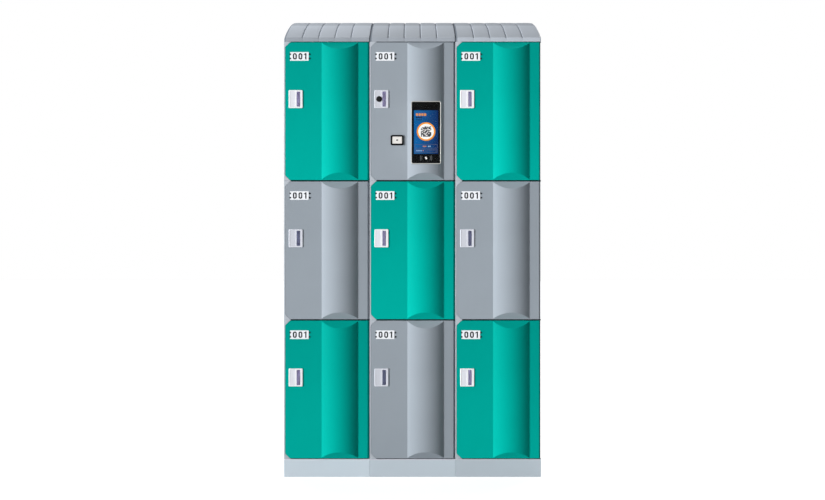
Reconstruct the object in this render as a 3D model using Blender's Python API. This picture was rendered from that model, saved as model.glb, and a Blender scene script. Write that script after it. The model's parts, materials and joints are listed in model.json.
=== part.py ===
"""Bank of nine charging lockers: three columns of three ABS modules on plinths, under curved roof caps.

Metres, +Z up. The doors face -Y, and the origin is on the floor under the middle of the whole bank.
Each module is drawn in its own frame: x from its left side, y back from the door's flat face, and z up
from its underside. Modules are numbered by row from the top and by column from the left.
"""

import math

import bmesh
import bpy
from mathutils import Matrix, Vector

# The bank
COLUMNS = 3
ROWS = 3
MODULE_WIDTH = 0.382
MODULE_HEIGHT = 0.620
BODY_DEPTH = 0.500
PLINTH_HEIGHT = 0.080
FIT_GAP = 0.0003
CONTROL_ROW = 1
CONTROL_COLUMN = 2

# Shell of one module
SHELL_WIDTH = MODULE_WIDTH - FIT_GAP
SHELL_HEIGHT = MODULE_HEIGHT - FIT_GAP
SHELL_WALL = 0.0025
MOUTH_WALL = 0.0022
LEFT_RIM = 0.005
RIM_SETBACK = 0.004
MOUTH_DEPTH = 0.025
MOUTH_GAP = 0.001
CORNER_POST = 0.030

# Door
DOOR_LEFT = LEFT_RIM + MOUTH_GAP
DOOR_BOTTOM = MOUTH_WALL + MOUTH_GAP
DOOR_TOP = SHELL_HEIGHT - DOOR_BOTTOM
DOOR_RIGHT_INSET = 0.003
DOOR_DEPTH = 0.018
DOOR_WALL = 0.003
CORNER_CUT = 0.021
CORNER_ROUND = 0.012
BARREL_RADIUS = DOOR_DEPTH / 2
HINGE_X = SHELL_WIDTH - DOOR_RIGHT_INSET - BARREL_RADIUS
HINGE_Y = BARREL_RADIUS
PEG_RADIUS = 0.0025
PEG_LENGTH = 0.0029
PEG_CLEARANCE = 0.0003

# Rounded column that stands out of each door, and the slopes that end it
BULGE_LEFT = 0.168
BULGE_RIGHT = 0.330
BULGE_RISE = 0.025
BULGE_TOP_SLOPE = 0.031
BULGE_BOTTOM_SLOPE = 0.029
BULGE_END_INSET = 0.002
BULGE_MIDDLE = (BULGE_LEFT + BULGE_RIGHT) / 2
BULGE_HALF_CHORD = (BULGE_RIGHT - BULGE_LEFT) / 2
BULGE_RADIUS = (BULGE_HALF_CHORD ** 2 + BULGE_RISE ** 2) / (2 * BULGE_RISE)
BULGE_CENTRE_Y = BULGE_RADIUS - BULGE_RISE

# Handle plate, with its finger slot and the keeper behind it
HANDLE_LEFT = 0.0215
HANDLE_WIDTH = 0.0627
HANDLE_HEIGHT = 0.0805
HANDLE_DROP = 0.2530
HANDLE_PROUD = 0.0035
HANDLE_CORNER = 0.004
HANDLE_Z = DOOR_TOP - HANDLE_DROP
SLOT_LEFT = HANDLE_LEFT + 0.0355
SLOT_WIDTH = 0.016
SLOT_HEIGHT = 0.067
SLOT_DEPTH = 0.0135
SLOT_WALL = 0.0025
KEEPER_LEFT = 0.053
TONGUE_LEFT = 0.058
KEEPER_THICKNESS = 0.004
KEEPER_BACK = 0.050
KEEPER_HALF_HEIGHT = 0.012

# Electric lock with its charging socket, and the bolt that it throws
LOCK_RIGHT = 0.047
LOCK_FRONT = 0.027
LOCK_BACK = 0.087
LOCK_BELOW = 0.060
LOCK_ABOVE = 0.040
BOLT_RADIUS = 0.004
BOLT_LENGTH = 0.030
BOLT_Y = 0.038
BOLT_TIP = LOCK_RIGHT + 0.0005
BOLT_BORE_END = 0.012
SOCKET_DROP = 0.040
SOCKET_Y = 0.065
SOCKET_WIDTH = 0.014
SOCKET_HEIGHT = 0.006
SOCKET_DEPTH = 0.010

# Key lock of the control door
KEY_X = 0.042
KEY_COLLAR_RADIUS = 0.0127
KEY_BARREL_RADIUS = 0.011
KEY_BARREL_END = 0.028
KEY_COLLAR_PROUD = 0.0020
KEY_PLUG_RADIUS = 0.0075
KEY_CLEARANCE = 0.0003
CAM_WIDTH = 0.014
CAM_REACH = 0.034
CAM_THICKNESS = 0.004
CAM_FRONT = KEY_BARREL_END + 0.0005
LUG_REACH = 0.020
LUG_FRONT = 0.0205
LUG_BACK = 0.0275
LUG_HALF_HEIGHT = 0.012

# Reader and screen terminal of the control door
READER_X = 0.1225
READER_Z = SHELL_HEIGHT - 0.439
READER_SIZE = (0.058, 0.046)
READER_WINDOW = (0.043, 0.031)
READER_PROUD = 0.0048
READER_BACK = 0.0165
TERMINAL_X = 0.251
TERMINAL_Z = SHELL_HEIGHT - 0.408
TERMINAL_SIZE = (0.133, 0.279)
TERMINAL_CORNER = 0.009
TERMINAL_WALL = 0.0034
TERMINAL_PROUD = 0.030
TERMINAL_BACK = 0.014
GLASS_SINK = 0.0008
GLASS_THICKNESS = 0.004
DISPLAY_SIZE = (0.107, 0.1925)
DISPLAY_DROP = 0.0412
DISPLAY_THICKNESS = 0.012

# Electrical units inside the control module
UNIT_BACK = BODY_DEPTH - SHELL_WALL - FIT_GAP
CONTROLLER_LOW = (0.100, UNIT_BACK - 0.045, 0.300)
CONTROLLER_HIGH = (0.280, UNIT_BACK, 0.440)
SUPPLY_LOW = (0.100, UNIT_BACK - 0.042, 0.080)
SUPPLY_HIGH = (0.260, UNIT_BACK, 0.178)
INLET_X = 0.334
INLET_Z = 0.124
INLET_SIZE = (0.028, 0.048)
INLET_DEPTH = 0.030
INLET_FLANGE = 0.004
INLET_SOCKET = (0.022, 0.024)
INLET_SOCKET_DEPTH = 0.018

# Roof cap: a lip at the front, then one long arc up to the back
ROOF_LIP = 0.018
ROOF_RISE = 0.1855
ROOF_ARC_HEIGHT = 0.022
ROOF_SKIN = 0.005
ROOF_WALL = 0.003
ROOF_ARC_STEPS = 10
GROOVE_OFFSETS = (-0.1085, -0.0363, 0.0363, 0.1085)
GROOVE_WIDTH = 0.009
GROOVE_DEPTH = 0.0025
GROOVE_START = 0.010

# Plinth
PLINTH_SETBACK = 0.001
PLINTH_WALL = 0.003

# Where the flat faces of the doors are, so that the whole bank is centred on the origin
FACE_Y = -(BODY_DEPTH + TERMINAL_PROUD) / 2 + TERMINAL_PROUD
BANK_TOP = PLINTH_HEIGHT + ROWS * MODULE_HEIGHT

OVERCUT = 0.001
WELD_DISTANCE = 0.00001
ARC_STEPS = 3
ROUND_SIDES = 16
SMALL_ROUND_SIDES = 12

COLOURS = {
    "door_green": ((0.000, 0.376, 0.319), 0.42, 0.0),
    "door_grey": ((0.314, 0.361, 0.407), 0.42, 0.0),
    "shell_grey": ((0.500, 0.530, 0.570), 0.45, 0.0),
    "roof_grey": ((0.480, 0.510, 0.560), 0.45, 0.0),
    "plinth_grey": ((0.560, 0.620, 0.680), 0.45, 0.0),
    "handle_white": ((0.820, 0.830, 0.870), 0.35, 0.0),
    "black_plastic": ((0.012, 0.012, 0.013), 0.35, 0.0),
    "trim_silver": ((0.480, 0.500, 0.500), 0.35, 0.0),
    "screen_glass": ((0.010, 0.012, 0.015), 0.08, 0.0),
    "screen_panel": ((0.010, 0.110, 0.380), 0.30, 0.0),
    "reader_window": ((0.850, 0.860, 0.870), 0.25, 0.0),
    "lock_black": ((0.025, 0.025, 0.028), 0.50, 0.0),
    "bolt_steel": ((0.550, 0.560, 0.580), 0.30, 1.0),
    "unit_metal": ((0.600, 0.610, 0.620), 0.40, 1.0),
    "unit_grey": ((0.220, 0.230, 0.240), 0.50, 0.0),
}


# ---------------------------------------------------------------- scene, materials and placing

def clear_scene():
    """Start from a scene without objects."""
    for old in list(bpy.data.objects):
        bpy.data.objects.remove(old, do_unlink=True)


def make_material(name):
    """Principled material with one of the object's colours."""
    colour, roughness, metallic = COLOURS[name]
    made = bpy.data.materials.new(name)
    made.use_nodes = True
    shader = made.node_tree.nodes["Principled BSDF"]
    shader.inputs["Base Color"].default_value = (*colour, 1.0)
    shader.inputs["Roughness"].default_value = roughness
    shader.inputs["Metallic"].default_value = metallic
    made.diffuse_color = (*colour, 1.0)
    return made


def get_material(name):
    """The material of that name, made the first time it is asked for."""
    return bpy.data.materials.get(name) or make_material(name)


def get_collection(name):
    """The collection of that name, linked to the scene."""
    found = bpy.data.collections.get(name)
    if found is None:
        found = bpy.data.collections.new(name)
        bpy.context.scene.collection.children.link(found)
    return found


def mesh_object(name, bm):
    """Turn a bmesh into an object in the workshop collection."""
    mesh = bpy.data.meshes.new(name)
    bm.to_mesh(mesh)
    bm.free()
    made = bpy.data.objects.new(name, mesh)
    get_collection("cutters").objects.link(made)
    made.hide_render = True
    made.display_type = "WIRE"
    return made


def finish_piece(name, source, material, corner, pivot=(0.0, 0.0, 0.0)):
    """Put one copy of a shape in the bank, with its module's corner at corner and its origin on pivot."""
    mesh = source.data.copy()
    mesh.name = name
    mesh.transform(Matrix.Translation(-Vector(pivot)))
    mesh.materials.clear()
    mesh.materials.append(get_material(material))
    mesh.shade_smooth()
    mesh.set_sharp_from_angle(angle=math.radians(25))
    piece = bpy.data.objects.new(name, mesh)
    piece.location = Vector(corner) + Vector(pivot)
    get_collection("charging_locker_bank").objects.link(piece)
    return piece


def module_corner(row, column):
    """Front lower left corner of a module, on the flat face of its door."""
    x = (column - 1 - COLUMNS / 2) * MODULE_WIDTH + FIT_GAP / 2
    z = PLINTH_HEIGHT + (ROWS - row) * MODULE_HEIGHT + FIT_GAP / 2
    return Vector((x, FACE_Y, z))


# ---------------------------------------------------------------- shapes

def box(name, low, high):
    """Box between its lowest and highest corners."""
    low = Vector(low)
    high = Vector(high)
    bm = bmesh.new()
    bmesh.ops.create_cube(bm, size=1.0)
    bmesh.ops.scale(bm, vec=high - low, verts=bm.verts)
    bmesh.ops.translate(bm, vec=(high + low) / 2, verts=bm.verts)
    return mesh_object(name, bm)


def rod(name, start, end, radius, sides=ROUND_SIDES):
    """Round rod between two points."""
    start = Vector(start)
    end = Vector(end)
    run = end - start
    turn = Vector((0.0, 0.0, 1.0)).rotation_difference(run).to_matrix().to_4x4()
    bm = bmesh.new()
    bmesh.ops.create_cone(bm, cap_ends=True, segments=sides, radius1=radius, radius2=radius,
                          depth=run.length)
    bmesh.ops.transform(bm, matrix=Matrix.Translation((start + end) / 2) @ turn, verts=bm.verts)
    return mesh_object(name, bm)


EXTRUDE_FRAMES = {
    "X": Matrix(((0, 0, 1), (1, 0, 0), (0, 1, 0))),
    "Y": Matrix(((1, 0, 0), (0, 0, -1), (0, 1, 0))),
    "Z": Matrix.Identity(3),
}


def slab(name, outline, axis, low, high):
    """Flat outline, given in the other two axes, extruded along axis from low to high."""
    curve = bpy.data.curves.new(name, "CURVE")
    curve.dimensions = "2D"
    curve.fill_mode = "BOTH"
    curve.extrude = (high - low) / 2
    spline = curve.splines.new("POLY")
    spline.points.add(len(outline) - 1)
    for point, (across, up) in zip(spline.points, outline):
        point.co = (across, up, 0.0, 1.0)
    spline.use_cyclic_u = True
    guide = bpy.data.objects.new(name, curve)
    bpy.context.scene.collection.objects.link(guide)
    mesh = bpy.data.meshes.new_from_object(guide.evaluated_get(bpy.context.evaluated_depsgraph_get()))
    bpy.data.objects.remove(guide, do_unlink=True)
    middle = Vector([(low + high) / 2 if label == axis else 0.0 for label in "XYZ"])
    bm = bmesh.new()
    bm.from_mesh(mesh)
    bpy.data.meshes.remove(mesh)
    bmesh.ops.remove_doubles(bm, verts=bm.verts, dist=WELD_DISTANCE)
    bmesh.ops.transform(bm, matrix=Matrix.Translation(middle) @ EXTRUDE_FRAMES[axis].to_4x4(),
                        verts=bm.verts)
    bmesh.ops.recalc_face_normals(bm, faces=bm.faces)
    return mesh_object(name, bm)


def arc(centre, radius, start, end, steps):
    """Points on an arc, with its angles in radians."""
    points = []
    for step in range(steps + 1):
        angle = start + (end - start) * step / steps
        points.append((centre[0] + radius * math.cos(angle), centre[1] + radius * math.sin(angle)))
    return points


def rounded(corners, steps=ARC_STEPS):
    """Outline through corners (across, up, radius), each turned by an arc of its own radius."""
    outline = []
    for index, (across, up, radius) in enumerate(corners):
        here = Vector((across, up))
        if radius == 0:
            outline.append((across, up))
            continue
        before = (Vector(corners[index - 1][:2]) - here).normalized()
        after = (Vector(corners[(index + 1) % len(corners)][:2]) - here).normalized()
        half = before.angle(after) / 2
        centre = here + (before + after).normalized() * radius / math.sin(half)
        start = here + before * radius / math.tan(half) - centre
        end = here + after * radius / math.tan(half) - centre
        first = math.atan2(start.y, start.x)
        turn = math.atan2(end.y, end.x) - first
        turn = (turn + math.pi) % (2 * math.pi) - math.pi
        outline += arc(centre, radius, first, first + turn, steps)
    return outline


def rounded_rectangle(middle, size, radius, steps=ARC_STEPS):
    """Rectangle with round corners, about its middle."""
    left = middle[0] - size[0] / 2
    right = middle[0] + size[0] / 2
    low = middle[1] - size[1] / 2
    high = middle[1] + size[1] / 2
    return rounded([(left, low, radius), (right, low, radius), (right, high, radius),
                    (left, high, radius)], steps)


def combine(target, operation, *tools):
    """Boolean of a shape with others, which are used up."""
    for tool in tools:
        step = target.modifiers.new(operation.lower(), "BOOLEAN")
        step.operation = operation
        step.solver = "EXACT"
        step.object = tool
    mesh = bpy.data.meshes.new_from_object(target.evaluated_get(bpy.context.evaluated_depsgraph_get()))
    target.modifiers.clear()
    target.data = mesh
    for tool in tools:
        bpy.data.objects.remove(tool, do_unlink=True)
    return target


def copy_shape(source):
    """A second shape like the first, to be cut differently."""
    bm = bmesh.new()
    bm.from_mesh(source.data)
    return mesh_object(source.name, bm)


def trim(shape, point, outward):
    """Cut a shape flat at a plane and close it, keeping what is behind the plane."""
    bm = bmesh.new()
    bm.from_mesh(shape.data)
    cut = bmesh.ops.bisect_plane(bm, geom=bm.verts[:] + bm.edges[:] + bm.faces[:], plane_co=point,
                                 plane_no=outward, clear_outer=True, dist=WELD_DISTANCE)
    rim = [item for item in cut["geom_cut"] if isinstance(item, bmesh.types.BMEdge)]
    bmesh.ops.edgeloop_fill(bm, edges=rim)
    bmesh.ops.recalc_face_normals(bm, faces=bm.faces)
    bm.to_mesh(shape.data)
    bm.free()
    return shape


# ---------------------------------------------------------------- module shell

def front_outline(inset, right):
    """Front view of the door opening or the door: both left corners are cut and eased."""
    left = DOOR_LEFT + inset
    low = DOOR_BOTTOM + inset
    high = DOOR_TOP - inset
    cut = CORNER_CUT - inset * (2 - math.sqrt(2))
    return rounded([
        (left, low + cut, CORNER_ROUND),
        (left + cut, low, CORNER_ROUND),
        (right, low, 0),
        (right, high, 0),
        (left + cut, high, CORNER_ROUND),
        (left, high - cut, CORNER_ROUND),
    ])


def make_shell():
    """Open-fronted box with a left rim, a right wall set back behind the door, and hinge sockets."""
    shell = box("shell", (0, MOUTH_GAP / 2, 0), (SHELL_WIDTH, BODY_DEPTH, SHELL_HEIGHT))
    mouth = slab("mouth", front_outline(-MOUTH_GAP, SHELL_WIDTH + OVERCUT), "Y", -OVERCUT, MOUTH_DEPTH)
    room = box("room", (SHELL_WALL, MOUTH_DEPTH - OVERCUT, SHELL_WALL),
               (SHELL_WIDTH - SHELL_WALL, BODY_DEPTH - SHELL_WALL, SHELL_HEIGHT - SHELL_WALL))
    front_relief = box("front_relief", (CORNER_POST, -OVERCUT, -OVERCUT),
                       (SHELL_WIDTH + OVERCUT, RIM_SETBACK, SHELL_HEIGHT + OVERCUT))
    sockets = rod("sockets", (HINGE_X, HINGE_Y, -OVERCUT), (HINGE_X, HINGE_Y, SHELL_HEIGHT + OVERCUT),
                  PEG_RADIUS + PEG_CLEARANCE, SMALL_ROUND_SIDES)
    return combine(shell, "DIFFERENCE", mouth, room, front_relief, sockets)


def make_control_shell(plain_shell):
    """Module box with the lug that the key lock's cam turns behind, and a hole for the power inlet."""
    shell = copy_shape(plain_shell)
    lug = box("lug", (SHELL_WALL / 2, LUG_FRONT, HANDLE_Z - LUG_HALF_HEIGHT),
              (LUG_REACH, LUG_BACK, HANDLE_Z + LUG_HALF_HEIGHT))
    combine(shell, "UNION", lug)
    width = INLET_SIZE[0] / 2 + FIT_GAP
    height = INLET_SIZE[1] / 2 + FIT_GAP
    hole = box("inlet_hole", (INLET_X - width, BODY_DEPTH - 2 * SHELL_WALL, INLET_Z - height),
               (INLET_X + width, BODY_DEPTH + OVERCUT, INLET_Z + height))
    return combine(shell, "DIFFERENCE", hole)


# ---------------------------------------------------------------- door

def bulge_arc(inset, back, steps=10):
    """Plan of the door's rounded column, from left to right, ending where it meets y = back."""
    radius = BULGE_RADIUS - inset
    half = math.acos((BULGE_CENTRE_Y - back) / radius)
    middle = -math.pi / 2
    return arc((BULGE_MIDDLE, BULGE_CENTRE_Y), radius, middle - half, middle + half, steps)


def trim_bulge_ends(shape, inset):
    """Slope both ends of the rounded column, which also eases the door's top and bottom front edges."""
    for edge, slope, up in ((DOOR_TOP, BULGE_TOP_SLOPE, 1), (DOOR_BOTTOM, BULGE_BOTTOM_SLOPE, -1)):
        outward = Vector((0, -slope, up * BULGE_RISE)).normalized()
        point = Vector((0, 0, edge - up * BULGE_END_INSET)) - outward * inset
        trim(shape, point, outward)
    return shape


def make_door():
    """Hollow-backed door with its rounded column, hinge barrel and pegs, and the handle's hole."""
    plan = [(DOOR_LEFT, 0.0)] + bulge_arc(0.0, 0.0)
    plan += arc((HINGE_X, HINGE_Y), BARREL_RADIUS, -math.pi / 2, math.pi / 2, 6)
    plan += [(DOOR_LEFT, DOOR_DEPTH)]
    door = slab("door", plan, "Z", DOOR_BOTTOM - OVERCUT, DOOR_TOP + OVERCUT)
    front = slab("front", front_outline(0.0, SHELL_WIDTH), "Y", -2 * BULGE_RISE, 2 * DOOR_DEPTH)
    combine(door, "INTERSECT", front)
    trim_bulge_ends(door, 0.0)

    hollow_right = HINGE_X - BARREL_RADIUS - DOOR_WALL
    plan = [(DOOR_LEFT, DOOR_WALL)] + bulge_arc(DOOR_WALL, DOOR_WALL)
    plan += [(hollow_right, DOOR_WALL), (hollow_right, DOOR_DEPTH + OVERCUT)]
    plan += [(DOOR_LEFT, DOOR_DEPTH + OVERCUT)]
    hollow = slab("hollow", plan, "Z", DOOR_BOTTOM, DOOR_TOP)
    front = slab("front", front_outline(DOOR_WALL, SHELL_WIDTH), "Y", -2 * BULGE_RISE, 2 * DOOR_DEPTH)
    combine(hollow, "INTERSECT", front)
    trim_bulge_ends(hollow, DOOR_WALL)
    slot_middle = SLOT_LEFT + SLOT_WIDTH / 2
    half_width = SLOT_WIDTH / 2 + SLOT_WALL + FIT_GAP
    half_height = SLOT_HEIGHT / 2 + SLOT_WALL + FIT_GAP
    handle_hole = box("handle_hole", (slot_middle - half_width, -OVERCUT, HANDLE_Z - half_height),
                      (slot_middle + half_width, DOOR_DEPTH, HANDLE_Z + half_height))
    combine(door, "DIFFERENCE", hollow, handle_hole)

    upper_peg = rod("upper_peg", (HINGE_X, HINGE_Y, DOOR_TOP - 2 * PEG_RADIUS),
                    (HINGE_X, HINGE_Y, DOOR_TOP + PEG_LENGTH), PEG_RADIUS, SMALL_ROUND_SIDES)
    lower_peg = rod("lower_peg", (HINGE_X, HINGE_Y, DOOR_BOTTOM - PEG_LENGTH),
                    (HINGE_X, HINGE_Y, DOOR_BOTTOM + 2 * PEG_RADIUS), PEG_RADIUS, SMALL_ROUND_SIDES)
    return combine(door, "UNION", upper_peg, lower_peg)


def make_control_door(plain_door):
    """Door with openings for the key lock, the reader and the screen terminal."""
    door = copy_shape(plain_door)
    key_hole = rod("key_hole", (KEY_X, -OVERCUT, HANDLE_Z), (KEY_X, DOOR_DEPTH, HANDLE_Z),
                   KEY_BARREL_RADIUS + FIT_GAP)
    window = [size + 2 * FIT_GAP for size in READER_WINDOW]
    reader_hole = slab("reader_hole", rounded_rectangle((READER_X, READER_Z), window, 0.003), "Y",
                       -OVERCUT, DOOR_DEPTH)
    opening = [size + 2 * FIT_GAP for size in TERMINAL_SIZE]
    terminal_hole = slab("terminal_hole",
                         rounded_rectangle((TERMINAL_X, TERMINAL_Z), opening, TERMINAL_CORNER), "Y",
                         -2 * BULGE_RISE, DOOR_DEPTH)
    return combine(door, "DIFFERENCE", key_hole, reader_hole, terminal_hole)


# ---------------------------------------------------------------- handle and locks

def make_handle():
    """Handle plate with a cup behind its finger slot."""
    middle = (HANDLE_LEFT + HANDLE_WIDTH / 2, HANDLE_Z)
    handle = slab("handle", rounded_rectangle(middle, (HANDLE_WIDTH, HANDLE_HEIGHT), HANDLE_CORNER, 3),
                  "Y", -HANDLE_PROUD, -FIT_GAP)
    half_height = SLOT_HEIGHT / 2
    cup = box("cup", (SLOT_LEFT - SLOT_WALL, -HANDLE_PROUD / 2, HANDLE_Z - half_height - SLOT_WALL),
              (SLOT_LEFT + SLOT_WIDTH + SLOT_WALL, SLOT_DEPTH + SLOT_WALL,
               HANDLE_Z + half_height + SLOT_WALL))
    combine(handle, "UNION", cup)
    slot = box("slot", (SLOT_LEFT, -HANDLE_PROUD - OVERCUT, HANDLE_Z - half_height),
               (SLOT_LEFT + SLOT_WIDTH, SLOT_DEPTH, HANDLE_Z + half_height))
    return combine(handle, "DIFFERENCE", slot)


def make_keeper_handle(plain_handle):
    """Handle with the hooked tongue that an electric lock's bolt holds."""
    handle = copy_shape(plain_handle)
    low = HANDLE_Z - KEEPER_HALF_HEIGHT
    high = HANDLE_Z + KEEPER_HALF_HEIGHT
    tongue = box("tongue", (TONGUE_LEFT, SLOT_DEPTH + OVERCUT, low),
                 (TONGUE_LEFT + KEEPER_THICKNESS, KEEPER_BACK, high))
    hook = box("hook", (KEEPER_LEFT, KEEPER_BACK - KEEPER_THICKNESS, low + OVERCUT / 2),
               (TONGUE_LEFT + KEEPER_THICKNESS / 2, KEEPER_BACK - OVERCUT / 4, high - OVERCUT / 2))
    return combine(handle, "UNION", tongue, hook)


def make_control_handle(plain_handle):
    """Handle with a hole for the key lock's barrel."""
    handle = copy_shape(plain_handle)
    hole = rod("barrel_hole", (KEY_X, -HANDLE_PROUD - OVERCUT, HANDLE_Z), (KEY_X, OVERCUT, HANDLE_Z),
               KEY_BARREL_RADIUS + FIT_GAP)
    return combine(handle, "DIFFERENCE", hole)


def make_lock_unit():
    """Electric lock housing on the module's left wall, with a bore for the bolt and a charging socket."""
    unit = box("lock_unit", (SHELL_WALL + FIT_GAP, LOCK_FRONT, HANDLE_Z - LOCK_BELOW),
               (LOCK_RIGHT, LOCK_BACK, HANDLE_Z + LOCK_ABOVE))
    bore = rod("bore", (BOLT_BORE_END, BOLT_Y, HANDLE_Z), (LOCK_RIGHT + OVERCUT, BOLT_Y, HANDLE_Z),
               BOLT_RADIUS + FIT_GAP, SMALL_ROUND_SIDES)
    socket_z = HANDLE_Z - SOCKET_DROP
    socket = box("socket", (LOCK_RIGHT - SOCKET_DEPTH, SOCKET_Y - SOCKET_WIDTH / 2,
                            socket_z - SOCKET_HEIGHT / 2),
                 (LOCK_RIGHT + OVERCUT, SOCKET_Y + SOCKET_WIDTH / 2, socket_z + SOCKET_HEIGHT / 2))
    return combine(unit, "DIFFERENCE", bore, socket)


def make_bolt():
    """Round bolt, drawn back into its lock."""
    return rod("bolt", (BOLT_TIP - BOLT_LENGTH, BOLT_Y, HANDLE_Z), (BOLT_TIP, BOLT_Y, HANDLE_Z),
               BOLT_RADIUS, SMALL_ROUND_SIDES)


def make_key_barrel():
    """Fixed barrel of the key lock, with its collar on the handle plate."""
    collar_back = -HANDLE_PROUD - FIT_GAP
    collar = rod("collar", (KEY_X, collar_back - KEY_COLLAR_PROUD, HANDLE_Z),
                 (KEY_X, collar_back, HANDLE_Z), KEY_COLLAR_RADIUS)
    barrel = rod("barrel", (KEY_X, collar_back - KEY_COLLAR_PROUD / 2, HANDLE_Z),
                 (KEY_X, KEY_BARREL_END, HANDLE_Z), KEY_BARREL_RADIUS)
    combine(collar, "UNION", barrel)
    bore = rod("plug_bore", (KEY_X, collar_back - 2 * KEY_COLLAR_PROUD, HANDLE_Z),
               (KEY_X, KEY_BARREL_END + OVERCUT, HANDLE_Z), KEY_PLUG_RADIUS + KEY_CLEARANCE)
    return combine(collar, "DIFFERENCE", bore)


def make_key_plug():
    """Turning plug with its level key slot and the cam on its back end, hanging down when unlocked."""
    front = -HANDLE_PROUD - FIT_GAP - KEY_COLLAR_PROUD - OVERCUT / 2
    plug = rod("plug", (KEY_X, front, HANDLE_Z), (KEY_X, CAM_FRONT + CAM_THICKNESS / 2, HANDLE_Z),
               KEY_PLUG_RADIUS)
    cam = box("cam", (KEY_X - CAM_WIDTH / 2, CAM_FRONT, HANDLE_Z - CAM_REACH),
              (KEY_X + CAM_WIDTH / 2, CAM_FRONT + CAM_THICKNESS, HANDLE_Z + CAM_WIDTH / 2))
    combine(plug, "UNION", cam)
    slot = box("key_slot", (KEY_X - 0.0045, front - OVERCUT, HANDLE_Z - 0.001),
               (KEY_X + 0.0045, front + 0.004, HANDLE_Z + 0.001))
    return combine(plug, "DIFFERENCE", slot)


# ---------------------------------------------------------------- reader, terminal and inner units

def make_frame(name, middle, size, hole, radius, hole_radius, front, back):
    """Rectangular frame with round corners."""
    frame = slab(name, rounded_rectangle(middle, size, radius), "Y", front, back)
    opening = slab("opening", rounded_rectangle(middle, hole, hole_radius), "Y", front - OVERCUT,
                   back + OVERCUT)
    return combine(frame, "DIFFERENCE", opening)


def make_reader_bezel():
    """Black frame round the reader's window."""
    hole = [size + 2 * FIT_GAP for size in READER_WINDOW]
    return make_frame("bezel", (READER_X, READER_Z), READER_SIZE, hole, 0.0075, 0.003, -READER_PROUD,
                      -FIT_GAP)


def make_reader_module():
    """Reader body, which fills its window and reaches back through the door."""
    return slab("reader", rounded_rectangle((READER_X, READER_Z), READER_WINDOW, 0.003), "Y",
                -READER_PROUD + OVERCUT, READER_BACK)


def make_terminal_housing():
    """Deep frame let into the door's rounded column."""
    hole = [size - 2 * TERMINAL_WALL for size in TERMINAL_SIZE]
    return make_frame("housing", (TERMINAL_X, TERMINAL_Z), TERMINAL_SIZE, hole, TERMINAL_CORNER,
                      TERMINAL_CORNER - TERMINAL_WALL, -TERMINAL_PROUD, TERMINAL_BACK)


def make_terminal_glass():
    """Cover glass inside the terminal's frame."""
    size = [side - 2 * TERMINAL_WALL - 2 * FIT_GAP for side in TERMINAL_SIZE]
    front = -TERMINAL_PROUD + GLASS_SINK
    return slab("glass", rounded_rectangle((TERMINAL_X, TERMINAL_Z), size, TERMINAL_CORNER - TERMINAL_WALL),
                "Y", front, front + GLASS_THICKNESS)


def make_display():
    """Display panel behind the cover glass."""
    front = -TERMINAL_PROUD + GLASS_SINK + GLASS_THICKNESS + FIT_GAP
    top = TERMINAL_Z + TERMINAL_SIZE[1] / 2 - DISPLAY_DROP
    half_width = DISPLAY_SIZE[0] / 2
    return box("display", (TERMINAL_X - half_width, front, top - DISPLAY_SIZE[1]),
               (TERMINAL_X + half_width, front + DISPLAY_THICKNESS, top))


def make_power_inlet():
    """Mains inlet, flush with the module's back, with its flange inside."""
    half_width = INLET_SIZE[0] / 2
    half_height = INLET_SIZE[1] / 2
    inlet = box("inlet", (INLET_X - half_width, BODY_DEPTH - INLET_DEPTH, INLET_Z - half_height),
                (INLET_X + half_width, BODY_DEPTH, INLET_Z + half_height))
    flange = box("flange", (INLET_X - half_width - INLET_FLANGE, UNIT_BACK - SHELL_WALL,
                            INLET_Z - half_height - INLET_FLANGE),
                 (INLET_X + half_width + INLET_FLANGE, UNIT_BACK, INLET_Z + half_height + INLET_FLANGE))
    combine(inlet, "UNION", flange)
    socket = box("mains_socket", (INLET_X - INLET_SOCKET[0] / 2, BODY_DEPTH - INLET_SOCKET_DEPTH,
                                  INLET_Z - INLET_SOCKET[1] / 2),
                 (INLET_X + INLET_SOCKET[0] / 2, BODY_DEPTH + OVERCUT, INLET_Z + INLET_SOCKET[1] / 2))
    return combine(inlet, "DIFFERENCE", socket)


# ---------------------------------------------------------------- roof and plinth

def roof_arc(start, end, sink):
    """Side view of the roof's upper surface between two depths, sunk square to it by sink."""
    foot = Vector((0.0, ROOF_LIP))
    chord = Vector((BODY_DEPTH, ROOF_RISE)) - foot
    radius = (chord.length ** 2 / 4 + ROOF_ARC_HEIGHT ** 2) / (2 * ROOF_ARC_HEIGHT)
    down = Vector((chord.y, -chord.x)).normalized()
    centre = foot + chord / 2 + down * (radius - ROOF_ARC_HEIGHT)
    sunk = radius - sink
    angles = [math.acos((depth - centre.x) / sunk) for depth in (start, end)]
    return arc(centre, sunk, angles[0], angles[1], ROOF_ARC_STEPS)


def make_roof():
    """Hollow cap with an upright lip, an arched top and four grooves that run from front to back."""
    profile = [(0.0, 0.0)] + roof_arc(0.0, BODY_DEPTH, 0.0) + [(BODY_DEPTH, 0.0)]
    roof = slab("roof", profile, "X", 0.0, SHELL_WIDTH)
    low = -OVERCUT
    back = BODY_DEPTH - ROOF_WALL
    profile = [(ROOF_WALL, low)] + roof_arc(ROOF_WALL, back, ROOF_SKIN) + [(back, low)]
    hollow = slab("roof_hollow", profile, "X", ROOF_WALL, SHELL_WIDTH - ROOF_WALL)
    cutters = [hollow]
    for offset in GROOVE_OFFSETS:
        middle = SHELL_WIDTH / 2 + offset
        end = BODY_DEPTH + OVERCUT
        profile = roof_arc(GROOVE_START, end, GROOVE_DEPTH) + roof_arc(GROOVE_START, end, -0.010)[::-1]
        cutters.append(slab("groove", profile, "X", middle - GROOVE_WIDTH / 2, middle + GROOVE_WIDTH / 2))
    return combine(roof, "DIFFERENCE", *cutters)


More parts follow.
